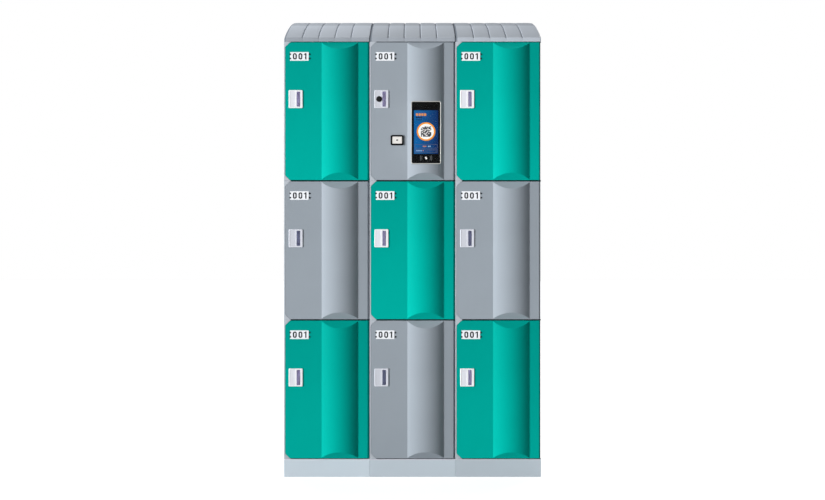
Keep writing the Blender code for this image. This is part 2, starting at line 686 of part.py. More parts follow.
def make_plinth():
    """Plinth tray with a closed floor."""
    plinth = box("plinth", (0, PLINTH_SETBACK, 0), (SHELL_WIDTH, BODY_DEPTH, PLINTH_HEIGHT - FIT_GAP))
    hollow = box("plinth_hollow", (PLINTH_WALL, PLINTH_SETBACK + PLINTH_WALL, PLINTH_WALL),
                 (SHELL_WIDTH - PLINTH_WALL, BODY_DEPTH - PLINTH_WALL, PLINTH_HEIGHT))
    return combine(plinth, "DIFFERENCE", hollow)


# ---------------------------------------------------------------- the bank

def place_control_pieces(corner, hinge):
    """Everything that only the control module has."""
    on_door = {
        "key_barrel": (make_key_barrel(), "black_plastic"),
        "reader_bezel": (make_reader_bezel(), "black_plastic"),
        "reader_module": (make_reader_module(), "reader_window"),
        "terminal_housing": (make_terminal_housing(), "trim_silver"),
        "terminal_glass": (make_terminal_glass(), "screen_glass"),
        "display_panel": (make_display(), "screen_panel"),
    }
    for name, (shape, material) in on_door.items():
        finish_piece(name, shape, material, corner, hinge)
    finish_piece("key_plug", make_key_plug(), "bolt_steel", corner, (KEY_X, 0.0, HANDLE_Z))
    finish_piece("controller_box", box("controller", CONTROLLER_LOW, CONTROLLER_HIGH), "unit_grey", corner)
    finish_piece("power_supply", box("supply", SUPPLY_LOW, SUPPLY_HIGH), "unit_metal", corner)
    finish_piece("power_inlet", make_power_inlet(), "black_plastic", corner)


def place_modules():
    """All nine modules, coloured like a draughtboard."""
    hinge = (HINGE_X, HINGE_Y, DOOR_BOTTOM)
    shell = make_shell()
    door = make_door()
    plain_handle = make_handle()
    keeper_handle = make_keeper_handle(plain_handle)
    lock_unit = make_lock_unit()
    bolt = make_bolt()
    for row in range(1, ROWS + 1):
        for column in range(1, COLUMNS + 1):
            corner = module_corner(row, column)
            label = f"{row}_{column}"
            colour = "door_green" if (row + column) % 2 == 0 else "door_grey"
            if (row, column) == (CONTROL_ROW, CONTROL_COLUMN):
                finish_piece("shell_" + label, make_control_shell(shell), "shell_grey", corner)
                finish_piece("door_" + label, make_control_door(door), colour, corner, hinge)
                finish_piece("handle_" + label, make_control_handle(plain_handle), "handle_white", corner,
                             hinge)
                place_control_pieces(corner, hinge)
                continue
            finish_piece("shell_" + label, shell, "shell_grey", corner)
            finish_piece("door_" + label, door, colour, corner, hinge)
            finish_piece("handle_" + label, keeper_handle, "handle_white", corner, hinge)
            finish_piece("lock_unit_" + label, lock_unit, "lock_black", corner)
            finish_piece("latch_bolt_" + label, bolt, "bolt_steel", corner, (BOLT_TIP, BOLT_Y, HANDLE_Z))


def place_columns():
    """A plinth under each column and a roof cap over it."""
    plinth = make_plinth()
    roof = make_roof()
    for column in range(1, COLUMNS + 1):
        corner = module_corner(1, column)
        finish_piece(f"plinth_{column}", plinth, "plinth_grey", (corner.x, FACE_Y, 0.0))
        finish_piece(f"roof_{column}", roof, "roof_grey", (corner.x, FACE_Y, BANK_TOP + FIT_GAP / 2))


def main():
    clear_scene()
    place_modules()
    place_columns()
    workshop = get_collection("cutters")
    for shape in list(workshop.objects):
        bpy.data.objects.remove(shape, do_unlink=True)
    bpy.data.collections.remove(workshop)


main()
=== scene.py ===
"""Looks of the charging locker bank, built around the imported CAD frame.

Each module is drawn in its own frame, as in the CAD: x from its left side, y back from the door's flat
face, and z up from its underside. A shape is made once and shared by every module that has it.
"""

import json
import math

import bmesh
import bpy
from mathutils import Matrix, Vector

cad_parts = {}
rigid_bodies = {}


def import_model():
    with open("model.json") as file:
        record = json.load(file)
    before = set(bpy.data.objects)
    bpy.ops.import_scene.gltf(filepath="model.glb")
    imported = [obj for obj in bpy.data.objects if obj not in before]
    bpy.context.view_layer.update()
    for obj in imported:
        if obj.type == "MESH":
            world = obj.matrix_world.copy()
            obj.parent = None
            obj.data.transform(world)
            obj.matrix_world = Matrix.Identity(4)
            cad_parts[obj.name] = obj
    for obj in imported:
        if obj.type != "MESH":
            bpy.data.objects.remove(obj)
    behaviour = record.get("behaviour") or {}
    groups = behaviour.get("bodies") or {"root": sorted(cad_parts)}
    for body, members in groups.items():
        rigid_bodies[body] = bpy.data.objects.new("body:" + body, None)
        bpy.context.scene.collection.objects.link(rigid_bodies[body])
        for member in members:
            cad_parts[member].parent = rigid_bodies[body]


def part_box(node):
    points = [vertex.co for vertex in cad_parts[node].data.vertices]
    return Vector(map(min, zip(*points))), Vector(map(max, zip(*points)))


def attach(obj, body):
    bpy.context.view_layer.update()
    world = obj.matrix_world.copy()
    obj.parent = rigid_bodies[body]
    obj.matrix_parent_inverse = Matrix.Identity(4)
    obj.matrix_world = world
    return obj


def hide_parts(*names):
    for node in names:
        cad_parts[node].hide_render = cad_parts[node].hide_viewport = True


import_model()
cad_names = {thing.name for thing in bpy.data.objects}
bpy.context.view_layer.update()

# The bank, as in the CAD
COLUMNS = 3
ROWS = 3
MODULE_WIDTH = 0.382
MODULE_HEIGHT = 0.620
BODY_DEPTH = 0.500
FIT_GAP = 0.0003
CONTROL = (1, 2)
SHELL_WIDTH = MODULE_WIDTH - FIT_GAP
SHELL_HEIGHT = MODULE_HEIGHT - FIT_GAP
SHELL_SIZE = (SHELL_WIDTH, SHELL_HEIGHT)
SHELL_MIDDLE = (SHELL_WIDTH / 2, SHELL_HEIGHT / 2)
SHELL_FRONT = 0.0005
SHELL_WALL = 0.0025
MOUTH_WALL = 0.0022
LEFT_RIM = 0.005
RIM_SETBACK = 0.004
MOUTH_DEPTH = 0.025
MOUTH_GAP = 0.001
CORNER_POST = 0.030

DOOR_LEFT = LEFT_RIM + MOUTH_GAP
DOOR_BOTTOM = MOUTH_WALL + MOUTH_GAP
DOOR_TOP = SHELL_HEIGHT - DOOR_BOTTOM
DOOR_DEPTH = 0.018
DOOR_WALL = 0.003
CORNER_CUT = 0.021
CORNER_ROUND = 0.012
BARREL_RADIUS = DOOR_DEPTH / 2
HINGE_X = SHELL_WIDTH - 0.003 - BARREL_RADIUS
HINGE_Y = BARREL_RADIUS
PEG_RADIUS = 0.0025
PEG_LENGTH = 0.0029

BULGE_LEFT = 0.168
BULGE_RIGHT = 0.330
BULGE_RISE = 0.025
BULGE_TOP_SLOPE = 0.031
BULGE_BOTTOM_SLOPE = 0.029
BULGE_END_INSET = 0.002
BULGE_MIDDLE = (BULGE_LEFT + BULGE_RIGHT) / 2
BULGE_HALF_CHORD = (BULGE_RIGHT - BULGE_LEFT) / 2
BULGE_RADIUS = (BULGE_HALF_CHORD ** 2 + BULGE_RISE ** 2) / (2 * BULGE_RISE)
BULGE_CENTRE_Y = BULGE_RADIUS - BULGE_RISE

HANDLE_LEFT = 0.0215
HANDLE_SIZE = (0.0627, 0.0805)
HANDLE_PROUD = 0.0035
HANDLE_Z = DOOR_TOP - 0.2530
SLOT_LEFT = HANDLE_LEFT + 0.0355
SLOT_SIZE = (0.016, 0.067)
SLOT_DEPTH = 0.0135
SLOT_WALL = 0.0025
SLOT_MIDDLE = (SLOT_LEFT + SLOT_SIZE[0] / 2, HANDLE_Z)
KEEPER_LEFT = 0.053
TONGUE_LEFT = 0.058
KEEPER_THICKNESS = 0.004
KEEPER_BACK = 0.050
KEEPER_HALF_HEIGHT = 0.012

LOCK_LEFT = SHELL_WALL + FIT_GAP
LOCK_RIGHT = 0.047
LOCK_FRONT = 0.027
LOCK_BACK = 0.087
LOCK_LOW = HANDLE_Z - 0.060
LOCK_HIGH = HANDLE_Z + 0.040
BOLT_RADIUS = 0.004
BOLT_LENGTH = 0.030
BOLT_Y = 0.038
BOLT_TIP = LOCK_RIGHT + 0.0005
BOLT_BORE_END = 0.012
SOCKET_Z = HANDLE_Z - 0.040
SOCKET_Y = 0.065
SOCKET_SIZE = (0.014, 0.006)
SOCKET_DEPTH = 0.010

KEY_X = 0.042
KEY_COLLAR_RADIUS = 0.0127
KEY_COLLAR_PROUD = 0.0020
KEY_BARREL_RADIUS = 0.011
KEY_BARREL_END = 0.028
KEY_PLUG_RADIUS = 0.0075
KEY_CLEARANCE = 0.0003
KEY_FRONT = -HANDLE_PROUD - FIT_GAP - KEY_COLLAR_PROUD
CAM_WIDTH = 0.014
CAM_REACH = 0.034
CAM_THICKNESS = 0.004
CAM_FRONT = KEY_BARREL_END + 0.0005
LUG_REACH = 0.020
LUG_FRONT = 0.0205
LUG_BACK = 0.0275
LUG_HALF_HEIGHT = 0.012

READER = (0.1225, SHELL_HEIGHT - 0.439)
READER_SIZE = (0.058, 0.046)
READER_WINDOW = (0.043, 0.031)
READER_PROUD = 0.0048
READER_BACK = 0.0165
TERMINAL = (0.251, SHELL_HEIGHT - 0.408)
TERMINAL_SIZE = (0.133, 0.279)
TERMINAL_CORNER = 0.009
TERMINAL_WALL = 0.0034
TERMINAL_PROUD = 0.030
TERMINAL_BACK = 0.014
GLASS_FRONT = -TERMINAL_PROUD + 0.0008
DISPLAY_SIZE = (0.107, 0.1925)
DISPLAY_TOP = TERMINAL[1] + TERMINAL_SIZE[1] / 2 - 0.0412
DISPLAY_LOW = DISPLAY_TOP - DISPLAY_SIZE[1]
DISPLAY = (TERMINAL[0], (DISPLAY_TOP + DISPLAY_LOW) / 2)
DISPLAY_BACK = GLASS_FRONT + 0.0163

UNIT_BACK = BODY_DEPTH - SHELL_WALL - FIT_GAP
CONTROLLER = ((0.100, UNIT_BACK - 0.045, 0.300), (0.280, UNIT_BACK, 0.440))
SUPPLY = ((0.100, UNIT_BACK - 0.042, 0.080), (0.260, UNIT_BACK, 0.178))
INLET = (0.334, 0.124)
INLET_SIZE = (0.028, 0.048)
INLET_DEPTH = 0.030
INLET_FLANGE = 0.004
INLET_SOCKET = (0.022, 0.024)
INLET_SOCKET_DEPTH = 0.018

ROOF_LIP = 0.018
ROOF_RISE = 0.1855
ROOF_ARC_HEIGHT = 0.022
ROOF_WALL = 0.003
ROOF_SKIN = 0.005
GROOVE_OFFSETS = (-0.1085, -0.0363, 0.0363, 0.1085)
PLINTH_SETBACK = 0.001
PLINTH_WALL = 0.003

# How shapes are drawn
OVERCUT = 0.001
LAYER = 0.0001
WELD_DISTANCE = 0.00001
FLAT_ANGLE = math.radians(0.05)
SHARP_ANGLE = math.radians(32)
ROUND_END = 0.48
PEG_SIDES = 24
BULGE_STEPS = 48


# ---------------------------------------------------------------- shapes

def add_object(name, data):
    """New object in the scene."""
    made = bpy.data.objects.new(name, data)
    bpy.context.scene.collection.objects.link(made)
    return made


def discard(*shapes):
    """Remove shapes that are used up."""
    for shape in shapes:
        bpy.data.objects.remove(shape, do_unlink=True)


def result_mesh(shape):
    """A shape's mesh with its modifiers applied."""
    return bpy.data.meshes.new_from_object(shape.evaluated_get(bpy.context.evaluated_depsgraph_get()))


def mesh_object(bm, name="shape"):
    """Turn a bmesh into an object."""
    mesh = bpy.data.meshes.new(name)
    bm.to_mesh(mesh)
    bm.free()
    return add_object(name, mesh)


def load_meshes(*shapes):
    """One bmesh with the meshes of all the shapes."""
    bm = bmesh.new()
    for shape in shapes:
        bm.from_mesh(shape.data)
    return bm


def box(low, high):
    """Box between its lowest and highest corners."""
    low = Vector(low)
    high = Vector(high)
    bm = bmesh.new()
    bmesh.ops.create_cube(bm, size=1.0)
    bmesh.ops.scale(bm, vec=high - low, verts=bm.verts)
    bmesh.ops.translate(bm, vec=(high + low) / 2, verts=bm.verts)
    return mesh_object(bm)


def block(middle, size, front, back):
    """Box given by its front view, from y = front to y = back."""
    half = [side / 2 for side in size]
    return box((middle[0] - half[0], front, middle[1] - half[1]),
               (middle[0] + half[0], back, middle[1] + half[1]))


def rod(start, end, radius, sides=32, end_radius=None):
    """Round or tapered rod between two points."""
    start = Vector(start)
    run = Vector(end) - start
    turn = Vector((0.0, 0.0, 1.0)).rotation_difference(run).to_matrix().to_4x4()
    bm = bmesh.new()
    bmesh.ops.create_cone(bm, cap_ends=True, segments=sides, radius1=radius,
                          radius2=radius if end_radius is None else end_radius, depth=run.length)
    bmesh.ops.transform(bm, matrix=Matrix.Translation(start + run / 2) @ turn, verts=bm.verts)
    return mesh_object(bm)


EXTRUDE_FRAMES = {
    "X": Matrix(((0, 0, 1), (1, 0, 0), (0, 1, 0))),
    "Y": Matrix(((1, 0, 0), (0, 0, -1), (0, 1, 0))),
    "Z": Matrix.Identity(3),
}


def slab(outlines, axis, low, high):
    """Flat outline, or an outline with holes, given in the other two axes, extruded along axis."""
    if not isinstance(outlines[0][0], (tuple, list)):
        outlines = [outlines]
    curve = bpy.data.curves.new("outline", "CURVE")
    curve.dimensions = "2D"
    curve.fill_mode = "BOTH"
    curve.extrude = (high - low) / 2
    for outline in outlines:
        spline = curve.splines.new("POLY")
        spline.points.add(len(outline) - 1)
        for point, (across, up) in zip(spline.points, outline):
            point.co = (across, up, 0.0, 1.0)
        spline.use_cyclic_u = True
    guide = add_object("outline", curve)
    bm = bmesh.new()
    bm.from_mesh(result_mesh(guide))
    discard(guide)
    middle = Vector([(low + high) / 2 if label == axis else 0.0 for label in "XYZ"])
    turn = Matrix.Translation(middle) @ EXTRUDE_FRAMES[axis].to_4x4()
    bmesh.ops.remove_doubles(bm, verts=bm.verts, dist=WELD_DISTANCE)
    bmesh.ops.dissolve_limit(bm, angle_limit=FLAT_ANGLE, verts=bm.verts, edges=bm.edges)
    bmesh.ops.transform(bm, matrix=turn, verts=bm.verts)
    bmesh.ops.recalc_face_normals(bm, faces=bm.faces)
    return mesh_object(bm)


def arc(centre, radius, start, end, steps):
    """Points on an arc, with its angles in radians."""
    points = []
    for step in range(steps + 1):
        angle = start + (end - start) * step / steps
        points.append((centre[0] + radius * math.cos(angle), centre[1] + radius * math.sin(angle)))
    return points


def rounded(corners, steps=6):
    """Outline through corners (across, up, radius), each turned by an arc of its own radius."""
    outline = []
    for index, (across, up, radius) in enumerate(corners):
        here = Vector((across, up))
        if radius == 0:
            outline.append((across, up))
            continue
        before = (Vector(corners[index - 1][:2]) - here).normalized()
        after = (Vector(corners[(index + 1) % len(corners)][:2]) - here).normalized()
        half = before.angle(after) / 2
        centre = here + (before + after).normalized() * radius / math.sin(half)
        start = here + before * radius / math.tan(half) - centre
        end = here + after * radius / math.tan(half) - centre
        first = math.atan2(start.y, start.x)
        turn = math.atan2(end.y, end.x) - first
        turn = (turn + math.pi) % (2 * math.pi) - math.pi
        outline += arc(centre, radius, first, first + turn, steps)
    return outline


def rounded_rectangle(middle, size, radius, steps=6):
    """Rectangle with round corners, about its middle."""
    left = middle[0] - size[0] / 2
    right = middle[0] + size[0] / 2
    low = middle[1] - size[1] / 2
    high = middle[1] + size[1] / 2
    return rounded([(left, low, radius), (right, low, radius), (right, high, radius),
                    (left, high, radius)], steps)


def plate(middle, size, radius, front, back, steps=6):
    """Rectangle with round corners in front view, from y = front to y = back."""
    return slab(rounded_rectangle(middle, size, radius, steps), "Y", front, back)


def grown(size, growth):
    """Width and height with the same amount added to both."""
    return [side + growth for side in size]


def bake_modifiers(shape):
    """Apply a shape's modifiers to its mesh."""
    mesh = result_mesh(shape)
    shape.modifiers.clear()
    shape.data = mesh
    return shape


def combine(target, operation, *tools):
    """Boolean of a shape with others, which are used up."""
    for tool in tools:
        step = target.modifiers.new(operation.lower(), "BOOLEAN")
        step.operation = operation
        step.solver = "EXACT"
        step.object = tool
    bake_modifiers(target)
    discard(*tools)
    return target


def join(*parts):
    """One object from loose shapes, each given with its material."""
    bm = bmesh.new()
    mesh = bpy.data.meshes.new("joined")
    for index, (shape, material) in enumerate(parts):
        known = len(bm.faces)
        bm.from_mesh(shape.data)
        bm.faces.ensure_lookup_table()
        for face in bm.faces[known:]:
            face.material_index = index
        mesh.materials.append(material)
        discard(shape)
    bm.to_mesh(mesh)
    bm.free()
    return add_object("joined", mesh)


def merge(shapes):
    """One shape from several that don't touch, for use as a single cutter or addition."""
    merged = mesh_object(load_meshes(*shapes))
    discard(*shapes)
    return merged


def copy_shape(source):
    """A second shape like the first, to be cut differently."""
    return mesh_object(load_meshes(source))


def trim(shape, point, outward):
    """Cut a shape flat at a plane and close it, keeping what is behind the plane."""
    bm = load_meshes(shape)
    cut = bmesh.ops.bisect_plane(bm, geom=bm.verts[:] + bm.edges[:] + bm.faces[:], plane_co=point,
                                 plane_no=outward, clear_outer=True, dist=WELD_DISTANCE)
    rim = [item for item in cut["geom_cut"] if isinstance(item, bmesh.types.BMEdge)]
    bmesh.ops.edgeloop_fill(bm, edges=rim)
    bmesh.ops.recalc_face_normals(bm, faces=bm.faces)
    bm.to_mesh(shape.data)
    bm.free()


def round_edges(shape, width, segments=3, chosen=None, sharpest=30):
    """Round the sharp edges of a shape, or only those that chosen(edge) picks."""
    bm = load_meshes(shape)
    bmesh.ops.dissolve_limit(bm, angle_limit=FLAT_ANGLE, verts=bm.verts, edges=bm.edges)
    edges = []
    for edge in bm.edges:
        if len(edge.link_faces) == 2 and edge.calc_face_angle(0) > math.radians(sharpest):
            if chosen is None or chosen(edge):
                edges.append(edge)
    bmesh.ops.bevel(bm, geom=edges, offset=width, segments=segments, profile=0.5, affect="EDGES",
                    clamp_overlap=True)
    bm.to_mesh(shape.data)
    bm.free()
    return shape


def front_outline(inset, right):
    """Front view of the door or its opening: both left corners are cut and eased."""
    left = DOOR_LEFT + inset
    low = DOOR_BOTTOM + inset
    high = DOOR_TOP - inset
    cut = CORNER_CUT - inset * (2 - math.sqrt(2))
    corners = [(left, low + cut, CORNER_ROUND), (left + cut, low, CORNER_ROUND), (right, low, 0),
               (right, high, 0), (left + cut, high, CORNER_ROUND), (left, high - cut, CORNER_ROUND)]
    return rounded(corners, 8)


# ---------------------------------------------------------------- materials

def new_material(name, **sockets):
    """Principled material, with sockets given by their names in lower case."""
    made = bpy.data.materials.new(name)
    made.use_nodes = True
    shader = made.node_tree.nodes["Principled BSDF"]
    for socket in shader.inputs:
        key = socket.name.lower().replace(" ", "_")
        if key in sockets:
            socket.default_value = sockets[key]
    return made


def add_node(material, kind, links=(), **values):
    """New node with its properties and inputs set; links are (input, output socket)."""
    made = material.node_tree.nodes.new("ShaderNode" + kind)
    for key, value in values.items():
        if key in made.inputs:
            made.inputs[key].default_value = value
        else:
            setattr(made, key, value)
    for key, socket in links:
        material.node_tree.links.new(made.inputs[key], socket)
    return made


def feed(material, socket, output):
    """Link an output to one of the material's Principled sockets."""
    shader = material.node_tree.nodes["Principled BSDF"]
    material.node_tree.links.new(shader.inputs[socket], output)


def add_noise(material, scale, detail=2.0, stretch=(1.0, 1.0, 1.0)):
    """Noise over the piece's own shape, with features of about 1 / scale metres."""
    place = add_node(material, "TexCoord")
    mapped = add_node(material, "Mapping", [("Vector", place.outputs["Object"])], Scale=stretch)
    made = add_node(material, "TexNoise", [("Vector", mapped.outputs["Vector"])], Scale=scale, Detail=detail)
    return made.outputs["Fac"]


def add_range(material, source, low, high, to_low, to_high):
    """Map a value from one range to another."""
    made = add_node(material, "MapRange", [("Value", source)])
    for key, value in (("From Min", low), ("From Max", high), ("To Min", to_low), ("To Max", to_high)):
        made.inputs[key].default_value = value
    return made.outputs["Result"]


def add_bump(material, source, height, strength=1.0):
    """Raise and lower the surface by a value, to a height in metres."""
    made = add_node(material, "Bump", [("Height", source)], Strength=strength, Distance=height)
    feed(material, "Normal", made.outputs["Normal"])


def add_tone(material, colour, tone):
    """The colour made lighter or darker by a value about 1."""
    made = add_node(material, "VectorMath", [("Scale", tone)], operation="SCALE")
    made.inputs[0].default_value = colour[:3]
    return made.outputs["Vector"]


def add_wear(material, colour_output, worn, amount):
    """Blend towards a paler colour on the sharpest outer edges."""
    geometry = add_node(material, "NewGeometry")
    edge = add_range(material, geometry.outputs["Pointiness"], 0.54, 0.68, 0.0, amount)
    mix = add_node(material, "Mix", data_type="RGBA")
    material.node_tree.links.new(mix.inputs["Factor"], edge)
    material.node_tree.links.new(mix.inputs["A"], colour_output)
    mix.inputs["B"].default_value = (*worn, 1.0)
    return mix.outputs["Result"]


def add_place(material, axis):
    """Place along one axis of the piece's own frame."""
    place = add_node(material, "TexCoord")
    return add_node(material, "SeparateXYZ", [("Vector", place.outputs["Object"])]).outputs[axis]


def plastic(name, colour, roughness, specular=0.3, grain=0.00006, fades=()):
    """Moulded plastic: fine grain, cloudy colour, uneven gloss, paler edges, and fades in tone that paint
    light and shade.

    Each painted fade is an axis, the two places along it where the fade starts and ends, and the tones
    there.
    """
    made = new_material(name, specular_ior_level=specular)
    tone = add_range(made, add_noise(made, 4.0, 3.0), 0.3, 0.7, 0.975, 1.025)
    for axis, *fade in fades:
        change = add_range(made, add_place(made, axis), *fade)
        tone = add_node(made, "Math", [(0, tone), (1, change)], operation="MULTIPLY").outputs["Value"]
    worn = [1.3 * value + 0.004 for value in colour]
    feed(made, "Base Color", add_wear(made, add_tone(made, colour, tone), worn, 0.5))
    gloss = add_range(made, add_noise(made, 45.0, 4.0), 0.3, 0.7, roughness - 0.05, roughness + 0.05)
    feed(made, "Roughness", gloss)
    add_bump(made, add_noise(made, 700.0, 2.0), grain)
    return made


def brushed(name, colour, roughness, stretch):
    """Metal with fine lines along one direction."""
    made = new_material(name, metallic=1.0)
    lines = add_noise(made, 60.0, 3.0, stretch)
    tone = add_range(made, lines, 0.3, 0.7, 0.88, 1.08)
    feed(made, "Base Color", add_wear(made, add_tone(made, colour, tone), (0.85, 0.85, 0.85), 0.3))
    feed(made, "Roughness", add_range(made, lines, 0.3, 0.7, roughness - 0.08, roughness + 0.08))
    add_bump(made, lines, 0.00002)
    return made


def glowing(name, roughness):
    """Dark material that hardly reflects, for a light of its own."""
    return new_material(name, roughness=roughness, specular_ior_level=0.03, emission_strength=1.0,
                        base_color=(0.004, 0.004, 0.005, 1.0))


def printed(name, colour):
    """Glowing mark, slightly uneven, that hardly reflects."""
    made = glowing(name, 0.5)
    tone = add_range(made, add_noise(made, 300.0), 0.3, 0.7, 0.95, 1.05)
    feed(made, "Emission Color", add_tone(made, colour, tone))
    return made


def lit_panel(name, left, right):
    """Display that glows from a brighter left side to a darker right side, with a fine pixel grain."""
    made = glowing(name, 0.4)
    reach = DISPLAY_SIZE[0] / 2
    across = add_range(made, add_place(made, "X"), DISPLAY[0] - reach, DISPLAY[0] + reach, 0.0, 1.0)
    clouds = add_range(made, add_noise(made, 14.0, 2.0), 0.35, 0.65, -0.12, 0.12)
    across = add_node(made, "Math", [(0, across), (1, clouds)], operation="ADD", use_clamp=True)
    ramp = add_node(made, "ValToRGB", [("Fac", across.outputs["Value"])])
    ramp.color_ramp.elements[0].color = (*left, 1.0)
    ramp.color_ramp.elements[1].color = (*right, 1.0)
    feed(made, "Emission Color", ramp.outputs["Color"])
    add_bump(made, add_noise(made, 1500.0, 1.0), 0.00001)
    return made


def clear_glass(name):
    """Clear cover glass with faint smears."""
    made = new_material(name, transmission_weight=1.0, ior=1.15, base_color=(1.0, 1.0, 1.0, 1.0))
    feed(made, "Roughness", add_range(made, add_noise(made, 22.0, 5.0), 0.4, 0.7, 0.02, 0.05))
    return made


# Painted shade: a fade that darkens the flat strip right of the rounded column, as the column shades it
STRIP_SHADE = ("X", BULGE_RIGHT - 0.001, BULGE_RIGHT + 0.001, 1.0, 0.91)
# Painted light: both door plastics fade from lighter at the bottom to darker at the top
GREEN = plastic("door_green", (0.0, 0.378, 0.318), 0.58, 0.01,
                fades=[("Z", DOOR_BOTTOM, DOOR_TOP, 1.13, 0.87), STRIP_SHADE])
GREY = plastic("door_grey", (0.321, 0.363, 0.408), 0.54, 0.03,
               fades=[("Z", DOOR_BOTTOM, DOOR_TOP, 1.03, 0.97), STRIP_SHADE])
SHELL = plastic("shell_grey", (0.460, 0.500, 0.550), 0.50, 0.2)
# Painted shade: the set-back rims between the doors are painted near black, for the shade in the gaps
SEAM_SHADE = plastic("seam_black", (0.006, 0.016, 0.020), 0.60, 0.1)
WHITE = plastic("handle_white", (0.920, 0.925, 0.950), 0.36, 0.3, 0.00003)
# Painted shade: the sunk panel is painted darker and the finger slot a darker violet, for the shade in these
# hollows; the grey doors' slots are painted darker still
PANEL_SHADE = plastic("handle_panel", (0.790, 0.805, 0.870), 0.40, 0.2, 0.00003)
# Painted shade: a darker copy of the white handle plastic and its panel, for the handles on the grey doors
# and the control door
WHITE_SHADED = plastic("handle_pale", (0.710, 0.730, 0.800), 0.36, 0.3, 0.00003)
PANEL_DEEP_SHADE = plastic("handle_pale_panel", (0.630, 0.650, 0.715), 0.40, 0.2, 0.00003)
SLOT_SHADE = plastic("handle_slot", (0.690, 0.660, 0.840), 0.45, 0.1, 0.00003)
SLOT_DEEP_SHADE = plastic("handle_grey_slot", (0.470, 0.490, 0.640), 0.45, 0.1, 0.00003)
LABEL = plastic("label_white", (0.900, 0.930, 0.970), 0.42, 0.2, 0.00002)
INK = plastic("label_ink", (0.008, 0.009, 0.012), 0.60, 0.1, 0.00002)
BLACK = plastic("black_plastic", (0.006, 0.006, 0.007), 0.40, 0.15, 0.00003)
CORE = plastic("black_core", (0.018, 0.018, 0.021), 0.50, 0.15, 0.00003)
SILVER = plastic("trim_silver", (0.560, 0.560, 0.535), 0.34, 0.3, 0.00002)
MASK = plastic("screen_mask", (0.0030, 0.0034, 0.0036), 0.40, 0.02, 0.00001)
GLASS = clear_glass("screen_glass")
PANEL = lit_panel("screen_panel", (0.000, 0.120, 0.380), (0.000, 0.022, 0.115))
SCREEN_ORANGE = printed("screen_orange", (0.950, 0.350, 0.010))
SCREEN_WHITE = printed("screen_white", (0.960, 0.950, 0.940))
SCREEN_BLUE = printed("screen_pale_blue", (0.300, 0.500, 0.680))
SCREEN_LINE = printed("screen_line", (0.070, 0.090, 0.150))
SCREEN_DARK = printed("screen_dark", (0.004, 0.009, 0.014))
# Painted light: the tap mark's arcs glow, though they are only printed on the mask
TAP_ARC_GLOW = printed("screen_dim", (0.120, 0.125, 0.130))
WINDOW = plastic("reader_window", (0.820, 0.800, 0.770), 0.28, 0.3, 0.00001)
WINDOW_LINE = plastic("reader_line", (0.550, 0.530, 0.510), 0.40, 0.2, 0.00001)
LOCK = plastic("lock_black", (0.025, 0.025, 0.028), 0.52, 0.4, 0.00010)
STEEL = brushed("bolt_steel", (0.550, 0.560, 0.580), 0.28, (1.0, 14.0, 14.0))
SHEET = brushed("unit_metal", (0.600, 0.610, 0.620), 0.40, (1.0, 10.0, 16.0))
UNIT = plastic("unit_grey", (0.220, 0.230, 0.240), 0.52, 0.3, 0.00010)
LAMP = printed("unit_lamp", (0.050, 0.700, 0.120))
ROOF_MAIN = (0.430, 0.470, 0.525)
# Painted shade: the roof cap's rounded left edge is painted dark
ROOF_EDGE_SHADE = (0.165, 0.190, 0.225)
# Painted light and shade along the roof's depth: darker at the front, lighter behind it, and a darker band
# at the back
ROOF_LIGHT_FADES = [("Y", 0.0, 0.200, 0.84, 1.10), ("Y", 0.222, 0.246, 1.0, 0.82)]
PLINTH_MAIN = (0.520, 0.590, 0.650)
# Painted highlight: the plinth's rounded upper front edge is painted lighter
PLINTH_RIM_HIGHLIGHT = (0.640, 0.650, 0.720)


def tinted(name, colour, tone, roughness, specular, fades=()):
    """Plastic in a lighter or darker tone of a colour, which paints light and shade."""
    return plastic(name, [value * tone for value in colour], roughness, specular, fades=fades)


# Plastics of the roof caps (arched top, left edge and lip) and plinths (sides and rim), column by column, in
# tones of painted light: each column's roof top and plinth sides are painted darker than those to its left,
# and each lip has its own lighter or darker tone
ROOFS = []
PLINTHS = []
for column, top, lip, side in ((1, 1.10, 0.78, 1.18), (2, 0.95, 0.82, 1.04), (3, 0.92, 1.08, 0.94)):
    name = f"roof_grey_{column}"
    ROOFS.append([tinted(name + "_top", ROOF_MAIN, top, 0.55, 0.06, ROOF_LIGHT_FADES),
                  tinted(name + "_edge", ROOF_EDGE_SHADE, top, 0.55, 0.06),
                  tinted(name + "_lip", ROOF_MAIN, lip, 0.55, 0.06)])
    name = f"plinth_grey_{column}"
    PLINTHS.append([tinted(name + "_side", PLINTH_MAIN, side, 0.50, 0.1),
                    tinted(name + "_rim", PLINTH_RIM_HIGHLIGHT, side, 0.50, 0.1)])


# ---------------------------------------------------------------- door

DOOR_EASE = 0.004
BULGE_EASE = 0.0015
RIB_THICKNESS = 0.002
RIB_BACK = 0.011
RIB_SPACES = 8
READER_CORNER = 0.003


def ease_front(shape, width, segments, front):
    """Round the edges of a shape's front face, which lies at y = front."""
    def is_front(edge):
        return all(abs(vert.co.y - front) < WELD_DISTANCE for vert in edge.verts)
    return round_edges(shape, width, segments, is_front, 50)


def make_leaf():
    """The flat leaf with its hinge barrel, and with its front edges rounded."""
    plan = [(DOOR_LEFT, 0.0), (HINGE_X, 0.0)]
    plan += arc((HINGE_X, HINGE_Y), BARREL_RADIUS, -math.pi / 2, math.pi / 2, 20)[1:]
    plan += [(DOOR_LEFT, DOOR_DEPTH)]
    leaf = slab(plan, "Z", DOOR_BOTTOM - OVERCUT, DOOR_TOP + OVERCUT)
    combine(leaf, "INTERSECT", slab(front_outline(0.0, SHELL_WIDTH), "Y", -2 * BULGE_RISE, 2 * DOOR_DEPTH))
    return ease_front(leaf, DOOR_EASE, 4, 0.0)


